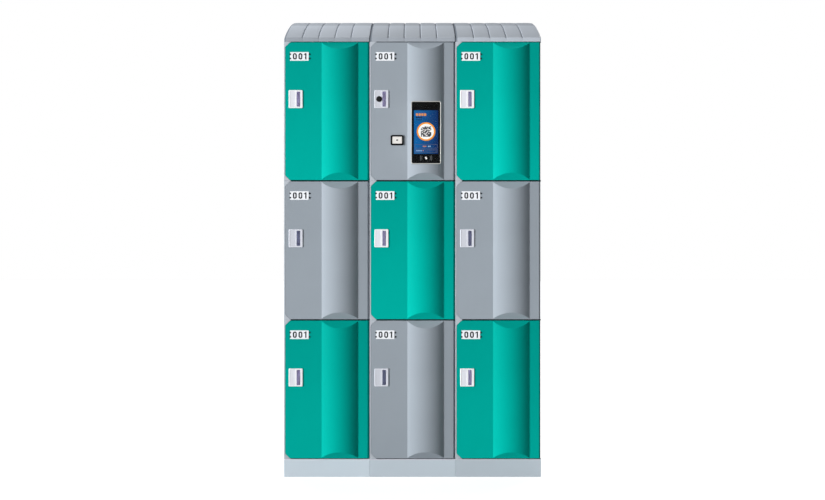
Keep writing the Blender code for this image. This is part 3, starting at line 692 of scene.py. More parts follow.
def is_end_crease(edge):
    """The edges between the rounded column and the slopes that end it."""
    sloped = [abs(face.normal.z) > 0.3 for face in edge.link_faces]
    return sorted(sloped) == [False, True] and edge.verts[0].co.y + edge.verts[1].co.y < 0.0


def make_bulge(inset, back):
    """The rounded column alone, with both ends sloped, back to y = back."""
    radius = BULGE_RADIUS - inset
    half = math.acos((BULGE_CENTRE_Y - back) / radius)
    middle = -math.pi / 2
    plan = arc((BULGE_MIDDLE, BULGE_CENTRE_Y), radius, middle - half, middle + half, BULGE_STEPS)
    column = slab(plan, "Z", DOOR_BOTTOM + OVERCUT / 2, DOOR_TOP - OVERCUT / 2)
    for edge, slope, up in ((DOOR_TOP, BULGE_TOP_SLOPE, 1), (DOOR_BOTTOM, BULGE_BOTTOM_SLOPE, -1)):
        outward = Vector((0, -slope, up * BULGE_RISE)).normalized()
        trim(column, Vector((0, 0, edge - up * BULGE_END_INSET)) - outward * inset, outward)
    return column


def make_ribs():
    """Stiffening ribs across the hollow back of the door, above and below the handle."""
    ribs = []
    for step in range(1, RIB_SPACES):
        z = DOOR_BOTTOM + (DOOR_TOP - DOOR_BOTTOM) * step / RIB_SPACES
        if abs(z - HANDLE_Z) > HANDLE_SIZE[1] / 2:
            ribs.append(box((DOOR_LEFT + DOOR_WALL / 2, DOOR_WALL / 2, z - RIB_THICKNESS / 2),
                            (BULGE_LEFT - 2 * DOOR_WALL, RIB_BACK, z + RIB_THICKNESS / 2)))
    return merge(ribs)


def make_door():
    """Hollow-backed door with its rounded column, ribs, hinge pegs and the handle's hole."""
    door = make_leaf()
    bulge = make_bulge(0.0, DOOR_WALL / 2)
    combine(door, "UNION", round_edges(bulge, BULGE_EASE, 3, is_end_crease))
    hollow_right = HINGE_X - BARREL_RADIUS - DOOR_WALL
    hollow = slab(front_outline(DOOR_WALL, hollow_right), "Y", DOOR_WALL, DOOR_DEPTH + OVERCUT)
    combine(hollow, "UNION", make_bulge(DOOR_WALL, DOOR_WALL + OVERCUT))
    combine(door, "DIFFERENCE", hollow)
    combine(door, "UNION", make_ribs())
    hole = block(SLOT_MIDDLE, grown(SLOT_SIZE, 2 * (SLOT_WALL + FIT_GAP)), -OVERCUT, DOOR_DEPTH)
    combine(door, "DIFFERENCE", hole)
    pegs = [rod((HINGE_X, HINGE_Y, low), (HINGE_X, HINGE_Y, high), PEG_RADIUS, PEG_SIDES)
            for low, high in ((DOOR_TOP - 2 * PEG_RADIUS, DOOR_TOP + PEG_LENGTH),
                              (DOOR_BOTTOM - PEG_LENGTH, DOOR_BOTTOM + 2 * PEG_RADIUS))]
    return combine(door, "UNION", *pegs)


def key_rod(front, back, radius, sides=64):
    """Round rod along the key lock's axis."""
    return rod((KEY_X, front, HANDLE_Z), (KEY_X, back, HANDLE_Z), radius, sides)


def make_control_door(plain_door):
    """Door with openings for the key lock, the reader and the screen terminal."""
    key = key_rod(-OVERCUT, DOOR_DEPTH, KEY_BARREL_RADIUS + FIT_GAP, 32)
    reader = plate(READER, grown(READER_WINDOW, 2 * FIT_GAP), READER_CORNER, -OVERCUT, DOOR_DEPTH)
    terminal = plate(TERMINAL, grown(TERMINAL_SIZE, 2 * FIT_GAP), TERMINAL_CORNER, -2 * BULGE_RISE,
                     DOOR_DEPTH)
    return combine(copy_shape(plain_door), "DIFFERENCE", key, reader, terminal)


# ---------------------------------------------------------------- handle and number label

HANDLE_CORNER = 0.004
HANDLE_EASE = 0.0022
PANEL_SIZE = (0.0235, 0.0715)
PANEL_LEFT = HANDLE_LEFT + 0.0055
PANEL_DEPTH = 0.0008
CUP_EASE = 0.0008
SLOT_CORNER = 0.002
SLOT_EASE = 0.0004
HOOK_ROUND = 0.0015
HOOK_EASE = 0.0008
LABEL_SIZE = (0.0825, 0.0385)
LABEL_MIDDLE = (0.0690, DOOR_TOP - 0.0625)
LABEL_THICKNESS = 0.0011
LABEL_CORNER = 0.0012
LABEL_EASE = 0.0003
DIGIT_SIZE = (0.0170, 0.0280)
DIGIT_STROKE = 0.0054
DIGIT_PROUD = 0.0003
DIGIT_PLACES = (-0.0205, 0.0045, 0.0285)
PIN_ACROSS = (-0.0408, 0.0452)
PIN_UP = 0.0095
PIN_SIZE = 0.0070
PIN_PROUD = 0.0018


def make_handle():
    """Handle plate with a sunk panel on its left and a cup behind its finger slot."""
    middle = (HANDLE_LEFT + HANDLE_SIZE[0] / 2, HANDLE_Z)
    handle = plate(middle, HANDLE_SIZE, HANDLE_CORNER, -HANDLE_PROUD, -FIT_GAP)
    ease_front(handle, HANDLE_EASE, 3, -HANDLE_PROUD)
    cup = block(SLOT_MIDDLE, grown(SLOT_SIZE, 2 * SLOT_WALL), -HANDLE_PROUD / 2, SLOT_DEPTH + SLOT_WALL)
    combine(handle, "UNION", round_edges(cup, CUP_EASE, 2))
    slot = plate(SLOT_MIDDLE, SLOT_SIZE, SLOT_CORNER, -HANDLE_PROUD - OVERCUT, SLOT_DEPTH)
    panel = plate((PANEL_LEFT + PANEL_SIZE[0] / 2, HANDLE_Z), PANEL_SIZE, SLOT_CORNER,
                  -HANDLE_PROUD - OVERCUT, -HANDLE_PROUD + PANEL_DEPTH)
    combine(handle, "DIFFERENCE", slot, panel)
    return ease_front(handle, SLOT_EASE, 2, -HANDLE_PROUD)


def make_keeper_handle(plain_handle):
    """Handle with the hooked tongue that an electric lock's bolt holds."""
    right = TONGUE_LEFT + KEEPER_THICKNESS
    front = SLOT_DEPTH + OVERCUT
    hook = KEEPER_BACK - KEEPER_THICKNESS
    plan = rounded([(right, front, 0), (right, KEEPER_BACK, HOOK_ROUND),
                    (KEEPER_LEFT, KEEPER_BACK, HOOK_ROUND), (KEEPER_LEFT, hook, HOOK_EASE),
                    (TONGUE_LEFT, hook, HOOK_EASE), (TONGUE_LEFT, front, 0)])
    tongue = slab(plan, "Z", HANDLE_Z - KEEPER_HALF_HEIGHT, HANDLE_Z + KEEPER_HALF_HEIGHT)
    return combine(copy_shape(plain_handle), "UNION", tongue)


def make_control_handle(plain_handle):
    """Handle with a hole for the key lock's barrel."""
    hole = key_rod(-HANDLE_PROUD - OVERCUT, OVERCUT, KEY_BARREL_RADIUS + FIT_GAP, 32)
    return combine(copy_shape(plain_handle), "DIFFERENCE", hole)


def handle_part(face):
    """Which of the handle's plastics a face has: 1 in the sunk panel, 2 in the slot, 0 elsewhere; panel and
    slot are painted darker as shade.
    """
    across, depth, up = face.center
    if SLOT_LEFT - WELD_DISTANCE < across < SLOT_LEFT + SLOT_SIZE[0] + WELD_DISTANCE:
        sunk = -HANDLE_PROUD + HANDLE_EASE / 4 < depth < SLOT_DEPTH + WELD_DISTANCE
        return 2 if sunk and abs(up - HANDLE_Z) < SLOT_SIZE[1] / 2 + WELD_DISTANCE else 0
    in_panel = PANEL_LEFT < across < PANEL_LEFT + PANEL_SIZE[0] and abs(up - HANDLE_Z) < PANEL_SIZE[1] / 2
    return 1 if in_panel and depth < 0.0 and face.normal.y < -0.9 else 0


def make_zero(middle):
    """Outline of the digit 0 and its hole."""
    inner = grown(DIGIT_SIZE, -2 * DIGIT_STROKE)
    return [rounded_rectangle(middle, size, size[0] * ROUND_END) for size in (DIGIT_SIZE, inner)]


def make_one(middle):
    """Outline of the digit 1."""
    x, z = middle
    half = DIGIT_SIZE[1] / 2
    stroke = DIGIT_STROKE
    return [[(x - stroke / 2, z - half), (x + stroke / 2, z - half), (x + stroke / 2, z + half),
             (x - stroke / 4, z + half), (x - 1.6 * stroke, z + 0.62 * half),
             (x - 1.6 * stroke, z + 0.36 * half), (x - stroke / 2, z + 0.60 * half)]]


def make_label():
    """White number plate with raised digits and the four pins beside it."""
    x, z = LABEL_MIDDLE
    board = plate(LABEL_MIDDLE, LABEL_SIZE, LABEL_CORNER, -LABEL_THICKNESS, 0.0)
    ease_front(board, LABEL_EASE, 2, -LABEL_THICKNESS)
    digits = [slab(draw((x + step, z)), "Y", -LABEL_THICKNESS - DIGIT_PROUD, -LABEL_THICKNESS + LAYER)
              for step, draw in zip(DIGIT_PLACES, (make_zero, make_zero, make_one))]
    pins = [plate((x + across, z + up), (PIN_SIZE, PIN_SIZE), PIN_SIZE / 4, -PIN_PROUD, 0.0, 4)
            for across in PIN_ACROSS for up in (-PIN_UP, PIN_UP)]
    pins = ease_front(merge(pins), PIN_SIZE / 12, 2, -PIN_PROUD)
    return join((board, LABEL), (merge(digits), INK), (pins, INK))


# ---------------------------------------------------------------- shell

SHELL_EASE = 0.001
SIDE_MARGIN = 0.045
SIDE_SINK = 0.0008
SIDE_CORNER = 0.020
BACK_CORNER = 0.015
LUG_EASE = 0.001
VENT_SIZE = (0.120, 0.004)
VENT_ROUND = VENT_SIZE[1] * 0.49
VENT_PITCH = 0.012
VENT_COUNT = 6
VENT_LOW = 0.500


def make_shell():
    """Open-fronted box with a left rim, hinge sockets, sunk side and back panels, and vents behind."""
    shell = box((0, MOUTH_GAP / 2, 0), (SHELL_WIDTH, BODY_DEPTH, SHELL_HEIGHT))
    round_edges(shell, SHELL_EASE, 2)
    mouth = slab(front_outline(-MOUTH_GAP, SHELL_WIDTH + OVERCUT), "Y", -OVERCUT, MOUTH_DEPTH)
    room = block(SHELL_MIDDLE, grown(SHELL_SIZE, -2 * SHELL_WALL), MOUTH_DEPTH - OVERCUT,
                 BODY_DEPTH - SHELL_WALL)
    front_relief = box((CORNER_POST, -OVERCUT, -OVERCUT),
                       (SHELL_WIDTH + OVERCUT, RIM_SETBACK, SHELL_HEIGHT + OVERCUT))
    sockets = rod((HINGE_X, HINGE_Y, -OVERCUT), (HINGE_X, HINGE_Y, SHELL_HEIGHT + OVERCUT),
                  PEG_RADIUS + FIT_GAP, PEG_SIDES)
    combine(shell, "DIFFERENCE", mouth, room, front_relief, sockets)
    side = rounded_rectangle((BODY_DEPTH / 2, SHELL_MIDDLE[1]),
                             grown((BODY_DEPTH, SHELL_HEIGHT), -2 * SIDE_MARGIN), SIDE_CORNER)
    sides = [slab(side, "X", -OVERCUT, SIDE_SINK),
             slab(side, "X", SHELL_WIDTH - SIDE_SINK, SHELL_WIDTH + OVERCUT)]
    back = plate(SHELL_MIDDLE, grown(SHELL_SIZE, -SIDE_MARGIN), BACK_CORNER, BODY_DEPTH - SIDE_SINK,
                 BODY_DEPTH + OVERCUT)
    vents = [plate((SHELL_MIDDLE[0], VENT_LOW + step * VENT_PITCH), VENT_SIZE, VENT_ROUND,
                   BODY_DEPTH - 2 * SHELL_WALL, BODY_DEPTH + OVERCUT) for step in range(VENT_COUNT)]
    return combine(shell, "DIFFERENCE", merge(sides), back, merge(vents))


def is_shaded_seam(face):
    """The front faces of the rims that lie set back between the doors, painted near black as the shade in
    the gaps.
    """
    return face.normal.y < -0.9 and abs(face.center.y - RIM_SETBACK) < OVERCUT


def make_control_shell(plain_shell):
    """Module box with the lug that the key lock's cam turns behind, and a hole for the power inlet."""
    shell = copy_shape(plain_shell)
    lug = box((SHELL_WALL / 2, LUG_FRONT, HANDLE_Z - LUG_HALF_HEIGHT),
              (LUG_REACH, LUG_BACK, HANDLE_Z + LUG_HALF_HEIGHT))
    combine(shell, "UNION", round_edges(lug, LUG_EASE, 2))
    hole = block(INLET, grown(INLET_SIZE, 2 * FIT_GAP), BODY_DEPTH - 2 * SHELL_WALL, BODY_DEPTH + OVERCUT)
    return combine(shell, "DIFFERENCE", hole)


# ---------------------------------------------------------------- locks

LOCK_EASE = 0.002
LID_THICKNESS = 0.010
LID_SEAM = 0.0008
LAMP_RISE = 0.018
LOCK_SCREW_INSET = 0.007
SOCKET_CORNER = 0.0012
TONGUE_HALF_WIDTH = 0.0055
LAMP_RADIUS = 0.0018
LAMP_PROUD = 0.0004
SCREW_RADIUS = 0.003
SCREW_TAPER = 0.8
SCREW_PROUD = 0.001
SCREW_SUNK = 0.0002
SLOT_REACH = 0.6
SCREW_SLOT = 0.0008
SCREW_SLOT_HALF_DEPTH = 0.0004
KEY_EASE = 0.0009
KEY_SLOT = (0.010, 0.002)
KEY_SLOT_CORNER = 0.0006
KEY_SLOT_DEPTH = 0.004
PLUG_EASE = 0.0006
CAM_TIP_ROUND = 0.003
CAM_HEAD_ROUND = 0.006
CAM_EASE = 0.0005


def make_screws(places, normal):
    """Screw heads with cross slots, standing on an upright face that looks along normal."""
    normal = Vector(normal)
    up = Vector((0.0, 0.0, 1.0))
    places = [Vector(place) for place in places]
    screws = merge([rod(place - normal * SCREW_SUNK, place + normal * SCREW_PROUD, SCREW_RADIUS, 24,
                        SCREW_RADIUS * SCREW_TAPER) for place in places])
    reach = SCREW_RADIUS * SLOT_REACH
    for place in places:
        middle = place + normal * (SCREW_PROUD - LAYER)
        for along in (up, normal.cross(up)):
            half = along * reach + normal.cross(along) * SCREW_SLOT / 2 + normal * SCREW_SLOT_HALF_DEPTH
            half = Vector([abs(side) for side in half])
            combine(screws, "DIFFERENCE", box(middle - half, middle + half))
    return screws


def corner_places(low, high, inset, complete):
    """The four places near the corners of a rectangle, each completed by complete(across, up)."""
    return [complete(across, up) for across in (low[0] + inset, high[0] - inset)
            for up in (low[1] + inset, high[1] - inset)]


def make_lock_unit():
    """Electric lock with a lid seam, bolt bore, charging socket, screws and a small lamp."""
    low = Vector((LOCK_LEFT, LOCK_FRONT, LOCK_LOW))
    high = Vector((LOCK_RIGHT, LOCK_BACK, LOCK_HIGH))
    unit = round_edges(box(low, high), LOCK_EASE)
    seam_x = LOCK_RIGHT - LID_THICKNESS
    seam = box((seam_x, low.y - OVERCUT, low.z - OVERCUT),
               (seam_x + LID_SEAM, high.y + OVERCUT, high.z + OVERCUT))
    core = box((seam_x - OVERCUT, low.y + LID_SEAM, low.z + LID_SEAM),
               (seam_x + 2 * OVERCUT, high.y - LID_SEAM, high.z - LID_SEAM))
    combine(seam, "DIFFERENCE", core)
    bore = rod((BOLT_BORE_END, BOLT_Y, HANDLE_Z), (LOCK_RIGHT + OVERCUT, BOLT_Y, HANDLE_Z),
               BOLT_RADIUS + FIT_GAP)
    mouth = slab(rounded_rectangle((SOCKET_Y, SOCKET_Z), SOCKET_SIZE, SOCKET_CORNER), "X",
                 LOCK_RIGHT - SOCKET_DEPTH, LOCK_RIGHT + OVERCUT)
    combine(unit, "DIFFERENCE", seam, bore, mouth)
    tongue = box((LOCK_RIGHT - SOCKET_DEPTH - OVERCUT, SOCKET_Y - TONGUE_HALF_WIDTH, SOCKET_Z - 0.0002),
                 (LOCK_RIGHT - 0.002, SOCKET_Y + TONGUE_HALF_WIDTH, SOCKET_Z + 0.0015))
    lamp_z = SOCKET_Z + LAMP_RISE
    lamp = rod((LOCK_RIGHT - OVERCUT, SOCKET_Y, lamp_z), (LOCK_RIGHT + LAMP_PROUD, SOCKET_Y, lamp_z),
               LAMP_RADIUS, 20)
    face = LOCK_RIGHT - 0.0006
    corners = corner_places(low.yz, high.yz, LOCK_SCREW_INSET, lambda y, z: (face, y, z))
    screws = make_screws(corners, (1, 0, 0))
    return join((unit, LOCK), (tongue, WHITE), (screws, STEEL), (lamp, LAMP))


def make_bolt():
    """Round bolt with a chamfered nose, drawn back into its lock."""
    bolt = rod((BOLT_TIP - BOLT_LENGTH, BOLT_Y, HANDLE_Z), (BOLT_TIP, BOLT_Y, HANDLE_Z), BOLT_RADIUS)
    return round_edges(bolt, KEY_EASE, 2, None, 60)


def make_key_barrel():
    """Fixed barrel of the key lock, with its rounded collar on the handle plate."""
    collar = key_rod(KEY_FRONT, KEY_FRONT + KEY_COLLAR_PROUD, KEY_COLLAR_RADIUS)
    ease_front(collar, KEY_EASE, 3, KEY_FRONT)
    barrel = key_rod(KEY_FRONT + KEY_COLLAR_PROUD / 2, KEY_BARREL_END, KEY_BARREL_RADIUS)
    combine(collar, "UNION", barrel)
    bore = key_rod(KEY_FRONT - OVERCUT, KEY_BARREL_END + OVERCUT, KEY_PLUG_RADIUS + KEY_CLEARANCE)
    return combine(collar, "DIFFERENCE", bore)


def make_key_plug():
    """Turning plug with its level key slot and the cam on its back end, hanging down when unlocked."""
    front = KEY_FRONT - OVERCUT / 2
    plug = key_rod(front, CAM_FRONT + CAM_THICKNESS / 2, KEY_PLUG_RADIUS, 48)
    ease_front(plug, PLUG_EASE, 3, front)
    slot = plate((KEY_X, HANDLE_Z), KEY_SLOT, KEY_SLOT_CORNER, front - OVERCUT, front + KEY_SLOT_DEPTH)
    combine(plug, "DIFFERENCE", slot)
    low = HANDLE_Z - CAM_REACH
    high = HANDLE_Z + CAM_WIDTH / 2
    left = KEY_X - CAM_WIDTH / 2
    right = KEY_X + CAM_WIDTH / 2
    outline = rounded([(left, low, CAM_TIP_ROUND), (right, low, CAM_TIP_ROUND),
                       (right, high, CAM_HEAD_ROUND), (left, high, CAM_HEAD_ROUND)])
    cam = round_edges(slab(outline, "Y", CAM_FRONT, CAM_FRONT + CAM_THICKNESS), CAM_EASE, 2)
    return join((plug, CORE), (cam, STEEL))


# ---------------------------------------------------------------- reader and screen terminal

BEZEL_CORNER = 0.0075
BEZEL_EASE = 0.0012
READER_EASE = 0.0004
READER_LINE = (0.0405, 0.0270)
LINE_WIDTH = 0.0006
LINE_PROUD = 0.0002
READER_EYE = (0.0086, 0.0050)
EYE_CORNER = 0.0016
EYE_PROUD = 0.0003
HOUSING_EASE = 0.0014
GLASS_SIZE = grown(TERMINAL_SIZE, -2 * TERMINAL_WALL - 2 * FIT_GAP)
GLASS_CORNER = TERMINAL_CORNER - TERMINAL_WALL
GLASS_BACK = GLASS_FRONT + 0.0015
MASK_THICKNESS = 0.0004
TAP_MARK = (TERMINAL[0], TERMINAL[1] - TERMINAL_SIZE[1] / 2 + 0.0266)
TAP_RADII = (0.0205, 0.0265)
TAP_STROKE = 0.002
TAP_SPREAD = math.radians(27)
CARD_SIZE = (0.0072, 0.0115)
CARD_TILT = math.radians(-28)
SCREEN_FRONT = GLASS_BACK + MASK_THICKNESS + 6 * LAYER
DISPLAY_LAP = 0.002
DISPLAY_EASE = 0.001
DISPLAY_CORNER = 0.001
BAR_CORNER = 0.0008
BOX_CORNER = 0.002
BOX_INNER_CORNER = 0.0014
EMBLEM_DOWN = 0.0938
RING_RADIUS = 0.0411
DISC_RADIUS = 0.0345
TILE_COUNT = 11
TILE = 0.00415
TILE_SHARE = 0.70
TILE_SIZE = (TILE * 0.97, TILE * 0.97)
TILE_CORNER = 0.0003

# Rows of bars: across and down to the first, width, height, count, step across and step down
SCREEN_BARS = [
    (SCREEN_ORANGE, -0.0405, 0.0186, 0.0050, 0.0022, 4, 0.0121),
    (SCREEN_ORANGE, -0.0128, 0.1594, 0.0022, 0.0050, 4, 0.0040),
    (SCREEN_ORANGE, -0.0124, 0.1786, 0.0032, 0.0034),
    (SCREEN_LINE, 0.0085, 0.1786, 0.0034, 0.0030, 7, 0.0060),
    (SCREEN_BLUE, 0.0110, 0.1594, 0.0050, 0.0056, 2, 0.0065),
    (SCREEN_BLUE, -0.0410, 0.1786, 0.0054, 0.0040, 4, 0.0066),
    (SCREEN_DARK, -0.0415, 0.0312, 0.0080, 0.0060, 3, 0.0095),
    (SCREEN_DARK, -0.0325, 0.0391, 0.0270, 0.0018, 2, 0.0, 0.0042),
]
# Thin boxes: across and down to the middle, width, height and line
SCREEN_BOXES = [
    (SCREEN_LINE, 0.0, 0.1591, 0.1010, 0.0185, 0.0020),
    (SCREEN_LINE, -0.0263, 0.1798, 0.0475, 0.0150, 0.0020),
    (SCREEN_LINE, 0.0263, 0.1798, 0.0475, 0.0150, 0.0020),
    *[(SCREEN_ORANGE, -0.0405 + step * 0.0121, 0.0186, 0.0090, 0.0108, 0.0024) for step in range(4)],
]

def make_frame(middle, size, hole, radius, hole_radius, front, back, ease):
    """Rectangular frame with round corners and rounded front edges."""
    outlines = [rounded_rectangle(middle, size, radius, 10), rounded_rectangle(middle, hole, hole_radius, 8)]
    return ease_front(slab(outlines, "Y", front, back), ease, 3, front)


def make_reader_bezel():
    """Black frame round the reader's window."""
    return make_frame(READER, READER_SIZE, grown(READER_WINDOW, 2 * FIT_GAP), BEZEL_CORNER,
                      READER_CORNER, -READER_PROUD, -FIT_GAP, BEZEL_EASE)


def make_reader():
    """Reader body that fills its window, with a fine raised outline and a small dark eye."""
    front = -READER_PROUD + OVERCUT
    body = plate(READER, READER_WINDOW, READER_CORNER, front, READER_BACK)
    ease_front(body, READER_EASE, 2, front)
    line = slab([rounded_rectangle(READER, READER_LINE, BOX_CORNER),
                 rounded_rectangle(READER, grown(READER_LINE, -2 * LINE_WIDTH), BOX_INNER_CORNER)], "Y",
                front - LINE_PROUD, front + LINE_PROUD)
    eye = plate(READER, READER_EYE, EYE_CORNER, front - EYE_PROUD, front + EYE_PROUD)
    return join((body, WINDOW), (line, WINDOW_LINE), (eye, CORE))


def make_terminal_housing():
    """Silver frame let into the door's rounded column."""
    return make_frame(TERMINAL, TERMINAL_SIZE, grown(TERMINAL_SIZE, -2 * TERMINAL_WALL), TERMINAL_CORNER,
                      GLASS_CORNER, -TERMINAL_PROUD, TERMINAL_BACK, HOUSING_EASE)


def make_terminal_glass():
    """Clear cover glass, with the black mask printed behind it."""
    glass = plate(TERMINAL, GLASS_SIZE, GLASS_CORNER, GLASS_FRONT, GLASS_BACK, 10)
    mask = slab([rounded_rectangle(TERMINAL, GLASS_SIZE, GLASS_CORNER, 10),
                 rounded_rectangle(DISPLAY, DISPLAY_SIZE, DISPLAY_CORNER)], "Y", GLASS_BACK + LAYER,
                GLASS_BACK + LAYER + MASK_THICKNESS)
    return join((glass, GLASS), (mask, MASK))


def sticker(outlines, layer):
    """Flat printed shape on the display, in front of the ones below it."""
    front = SCREEN_FRONT - layer * LAYER
    return slab(outlines, "Y", front, front + LAYER * 0.8)


def screen_bars(across, down, width, height, count=1, pitch=0.0, drop=0.0):
    """Row of bars on the display, placed from the middle of its top edge."""
    return [sticker(rounded_rectangle((DISPLAY[0] + across + step * pitch, DISPLAY_TOP - down - step * drop),
                                      (width, height), BAR_CORNER, 3), 1) for step in range(count)]


def screen_box(across, down, width, height, line):
    """Thin outlined box on the display."""
    middle = (DISPLAY[0] + across, DISPLAY_TOP - down)
    inner = grown((width, height), -2 * line)
    return sticker([rounded_rectangle(middle, (width, height), BOX_CORNER, 3),
                    rounded_rectangle(middle, inner, BOX_INNER_CORNER, 3)], 1)


def ring_outline(middle, radius, sides=72):
    """Circle as an outline."""
    return arc(middle, radius, 0.0, 2 * math.pi * (1 - 1 / sides), sides - 1)


def make_emblem_tiles(middle):
    """Square field of tiles scattered by a formula, which stands for no code."""
    tiles = []
    for column in range(TILE_COUNT):
        for row in range(TILE_COUNT):
            if math.sin(column * 12.9898 + row * 78.233) * 43758.5453 % 1.0 < TILE_SHARE:
                x = middle[0] + (column - (TILE_COUNT - 1) / 2) * TILE
                z = middle[1] + (row - (TILE_COUNT - 1) / 2) * TILE
                tiles.append(sticker(rounded_rectangle((x, z), TILE_SIZE, TILE_CORNER, 2), 3))
    return tiles


def make_display():
    """Lit display with plain bars, a ringed disc and empty boxes."""
    size = grown(DISPLAY_SIZE, 2 * DISPLAY_LAP)
    body = round_edges(block(DISPLAY, size, SCREEN_FRONT + LAYER, DISPLAY_BACK), DISPLAY_EASE, 2)
    lit = block(DISPLAY, size, SCREEN_FRONT, SCREEN_FRONT + LAYER)
    middle = (DISPLAY[0], DISPLAY_TOP - EMBLEM_DOWN)
    marks = {
        SCREEN_ORANGE: [sticker([ring_outline(middle, RING_RADIUS), ring_outline(middle, DISC_RADIUS)], 1)],
        SCREEN_WHITE: [sticker(ring_outline(middle, DISC_RADIUS), 2)],
        SCREEN_BLUE: [],
        SCREEN_LINE: [],
        SCREEN_DARK: make_emblem_tiles(middle),
    }
    for material, *row in SCREEN_BARS:
        marks[material] += screen_bars(*row)
    for material, *outline in SCREEN_BOXES:
        marks[material].append(screen_box(*outline))
    layers = [(merge(shapes), material) for material, shapes in marks.items()]
    return join((body, LOCK), (lit, PANEL), *layers)


def make_tap_mark():
    """Marks printed on the mask below the display, a tilted card between two pairs of arcs, drawn in glowing
    materials as painted light.
    """
    x, z = TAP_MARK
    depths = (GLASS_BACK + LAYER / 5, GLASS_BACK + LAYER * 0.9)
    card = plate((0, 0), CARD_SIZE, 0.0012, *depths, 3)
    card.data.transform(Matrix.Translation((x, 0, z)) @ Matrix.Rotation(CARD_TILT, 4, "Y"))
    arcs = []
    for side in (0, math.pi):
        for radius in TAP_RADII:
            outer = arc((x, z), radius, side - TAP_SPREAD, side + TAP_SPREAD, 12)
            inner = arc((x, z), radius - TAP_STROKE, side + TAP_SPREAD, side - TAP_SPREAD, 12)
            arcs.append(slab(outer + inner, "Y", *depths))
    return join((card, SCREEN_WHITE), (merge(arcs), TAP_ARC_GLOW))


# ---------------------------------------------------------------- units inside the control module

COOLING_SLOT = (0.090, 0.003)
COOLING_PITCH = 0.008
COOLING_COUNT = 8
CONTROLLER_LAMPS = (0.250, 0.258, 0.266)
SUPPLY_HOLES = (11, 6)
HOLE_PITCH = 0.011
HOLE_RADIUS = 0.0032
INLET_CUT = 0.005
INLET_PIN = (0.002, 0.006)
INLET_PINS = ((-0.007, -0.002), (0.0, 0.003), (0.007, -0.002))


def make_controller():
    """Controller box with rounded edges, cooling slots, lamps and screws."""
    low, high = [Vector(corner) for corner in CONTROLLER]
    body = round_edges(box(low, high), 0.003)
    slots = [plate(((low.x + high.x) / 2, low.z + 0.030 + step * COOLING_PITCH), COOLING_SLOT, 0.0014,
                   low.y - OVERCUT, low.y + 0.003) for step in range(COOLING_COUNT)]
    combine(body, "DIFFERENCE", merge(slots))
    lamp_z = high.z - 0.022
    lamps = [rod((x, low.y - 0.0002, lamp_z), (x, low.y + 0.001, lamp_z), 0.0016, 20)
             for x in CONTROLLER_LAMPS]
    corners = corner_places(low.xz, high.xz, 0.010, lambda x, z: (x, low.y, z))
    return join((body, UNIT), (make_screws(corners, (0, -1, 0)), STEEL), (merge(lamps), LAMP))


def make_supply():
    """Power supply in a folded sheet cover with round holes."""
    low, high = [Vector(corner) for corner in SUPPLY]
    body = round_edges(box(low, high), 0.0015, 2)
    holes = []
    for column in range(SUPPLY_HOLES[0]):
        for row in range(SUPPLY_HOLES[1]):
            x = low.x + 0.025 + column * HOLE_PITCH
            z = low.z + 0.022 + row * HOLE_PITCH
            holes.append(rod((x, low.y - OVERCUT, z), (x, low.y + 0.0025, z), HOLE_RADIUS, 12))
    combine(body, "DIFFERENCE", merge(holes))
    corners = corner_places(low.xz, high.xz, 0.008, lambda x, z: (x, low.y, z))
    return join((body, SHEET), (make_screws(corners, (0, -1, 0)), STEEL))


def make_inlet():
    """Mains inlet with three pins, flush with the module's back, and its flange inside."""
    inlet = block(INLET, INLET_SIZE, BODY_DEPTH - INLET_DEPTH, BODY_DEPTH)
    flange = block(INLET, grown(INLET_SIZE, 2 * INLET_FLANGE), UNIT_BACK - SHELL_WALL, UNIT_BACK)
    combine(inlet, "UNION", flange)
    width, height = INLET_SOCKET
    left = INLET[0] - width / 2
    right = left + width
    low = INLET[1] - height / 2
    high = low + height
    outline = rounded([(left, low, 0.002), (right, low, 0.002),
                       (right, high - INLET_CUT, 0.001), (right - INLET_CUT, high, 0.001),
                       (left + INLET_CUT, high, 0.001), (left, high - INLET_CUT, 0.001)])
    start = BODY_DEPTH - INLET_SOCKET_DEPTH
    combine(inlet, "DIFFERENCE", slab(outline, "Y", start, BODY_DEPTH + OVERCUT))
    pins = [block((INLET[0] + across, INLET[1] + up), INLET_PIN, start - OVERCUT, BODY_DEPTH - 0.004)
            for across, up in INLET_PINS]
    return join((inlet, BLACK), (merge(pins), STEEL))


# ---------------------------------------------------------------- roof and plinth

ROOF_STEPS = 40
ROOF_EASE = 0.009
ROOF_BACK_EASE = 0.012
ROOF_LEFT_EASE = 0.009
ROOF_RIGHT_EASE = 0.003
ROOF_CROWN = 0.0008
GROOVE_WIDTH = 0.009
GROOVE_DEPTH = 0.003
GROOVE_START = 0.001
GROOVE_FADE = 0.008
PLINTH_EASE = 0.0045


def roof_curve():
    """Centre, radius and end angles of the roof's arc in side view, as in the CAD."""
    foot = Vector((0.0, ROOF_LIP))
    chord = Vector((BODY_DEPTH, ROOF_RISE)) - foot
    radius = (chord.length ** 2 / 4 + ROOF_ARC_HEIGHT ** 2) / (2 * ROOF_ARC_HEIGHT)
    down = Vector((chord.y, -chord.x)).normalized()
    centre = foot + chord / 2 + down * (radius - ROOF_ARC_HEIGHT)
    angles = [math.acos((depth - centre.x) / radius) for depth in (0.0, BODY_DEPTH)]
    return centre, radius, angles


def turn_corner(point, before, after, ease, steps):
    """Points and outward normals round a corner, between two outward normals given as angles."""
    half = (before - after) / 2
    middle = (before + after) / 2
    centre = point - Vector((math.cos(middle), math.sin(middle))) * ease / math.cos(half)
    turned = []
    for step in range(steps + 1):
        angle = before + (after - before) * step / steps
        normal = Vector((math.cos(angle), math.sin(angle)))
        turned.append((centre + normal * ease, normal))
    return turned


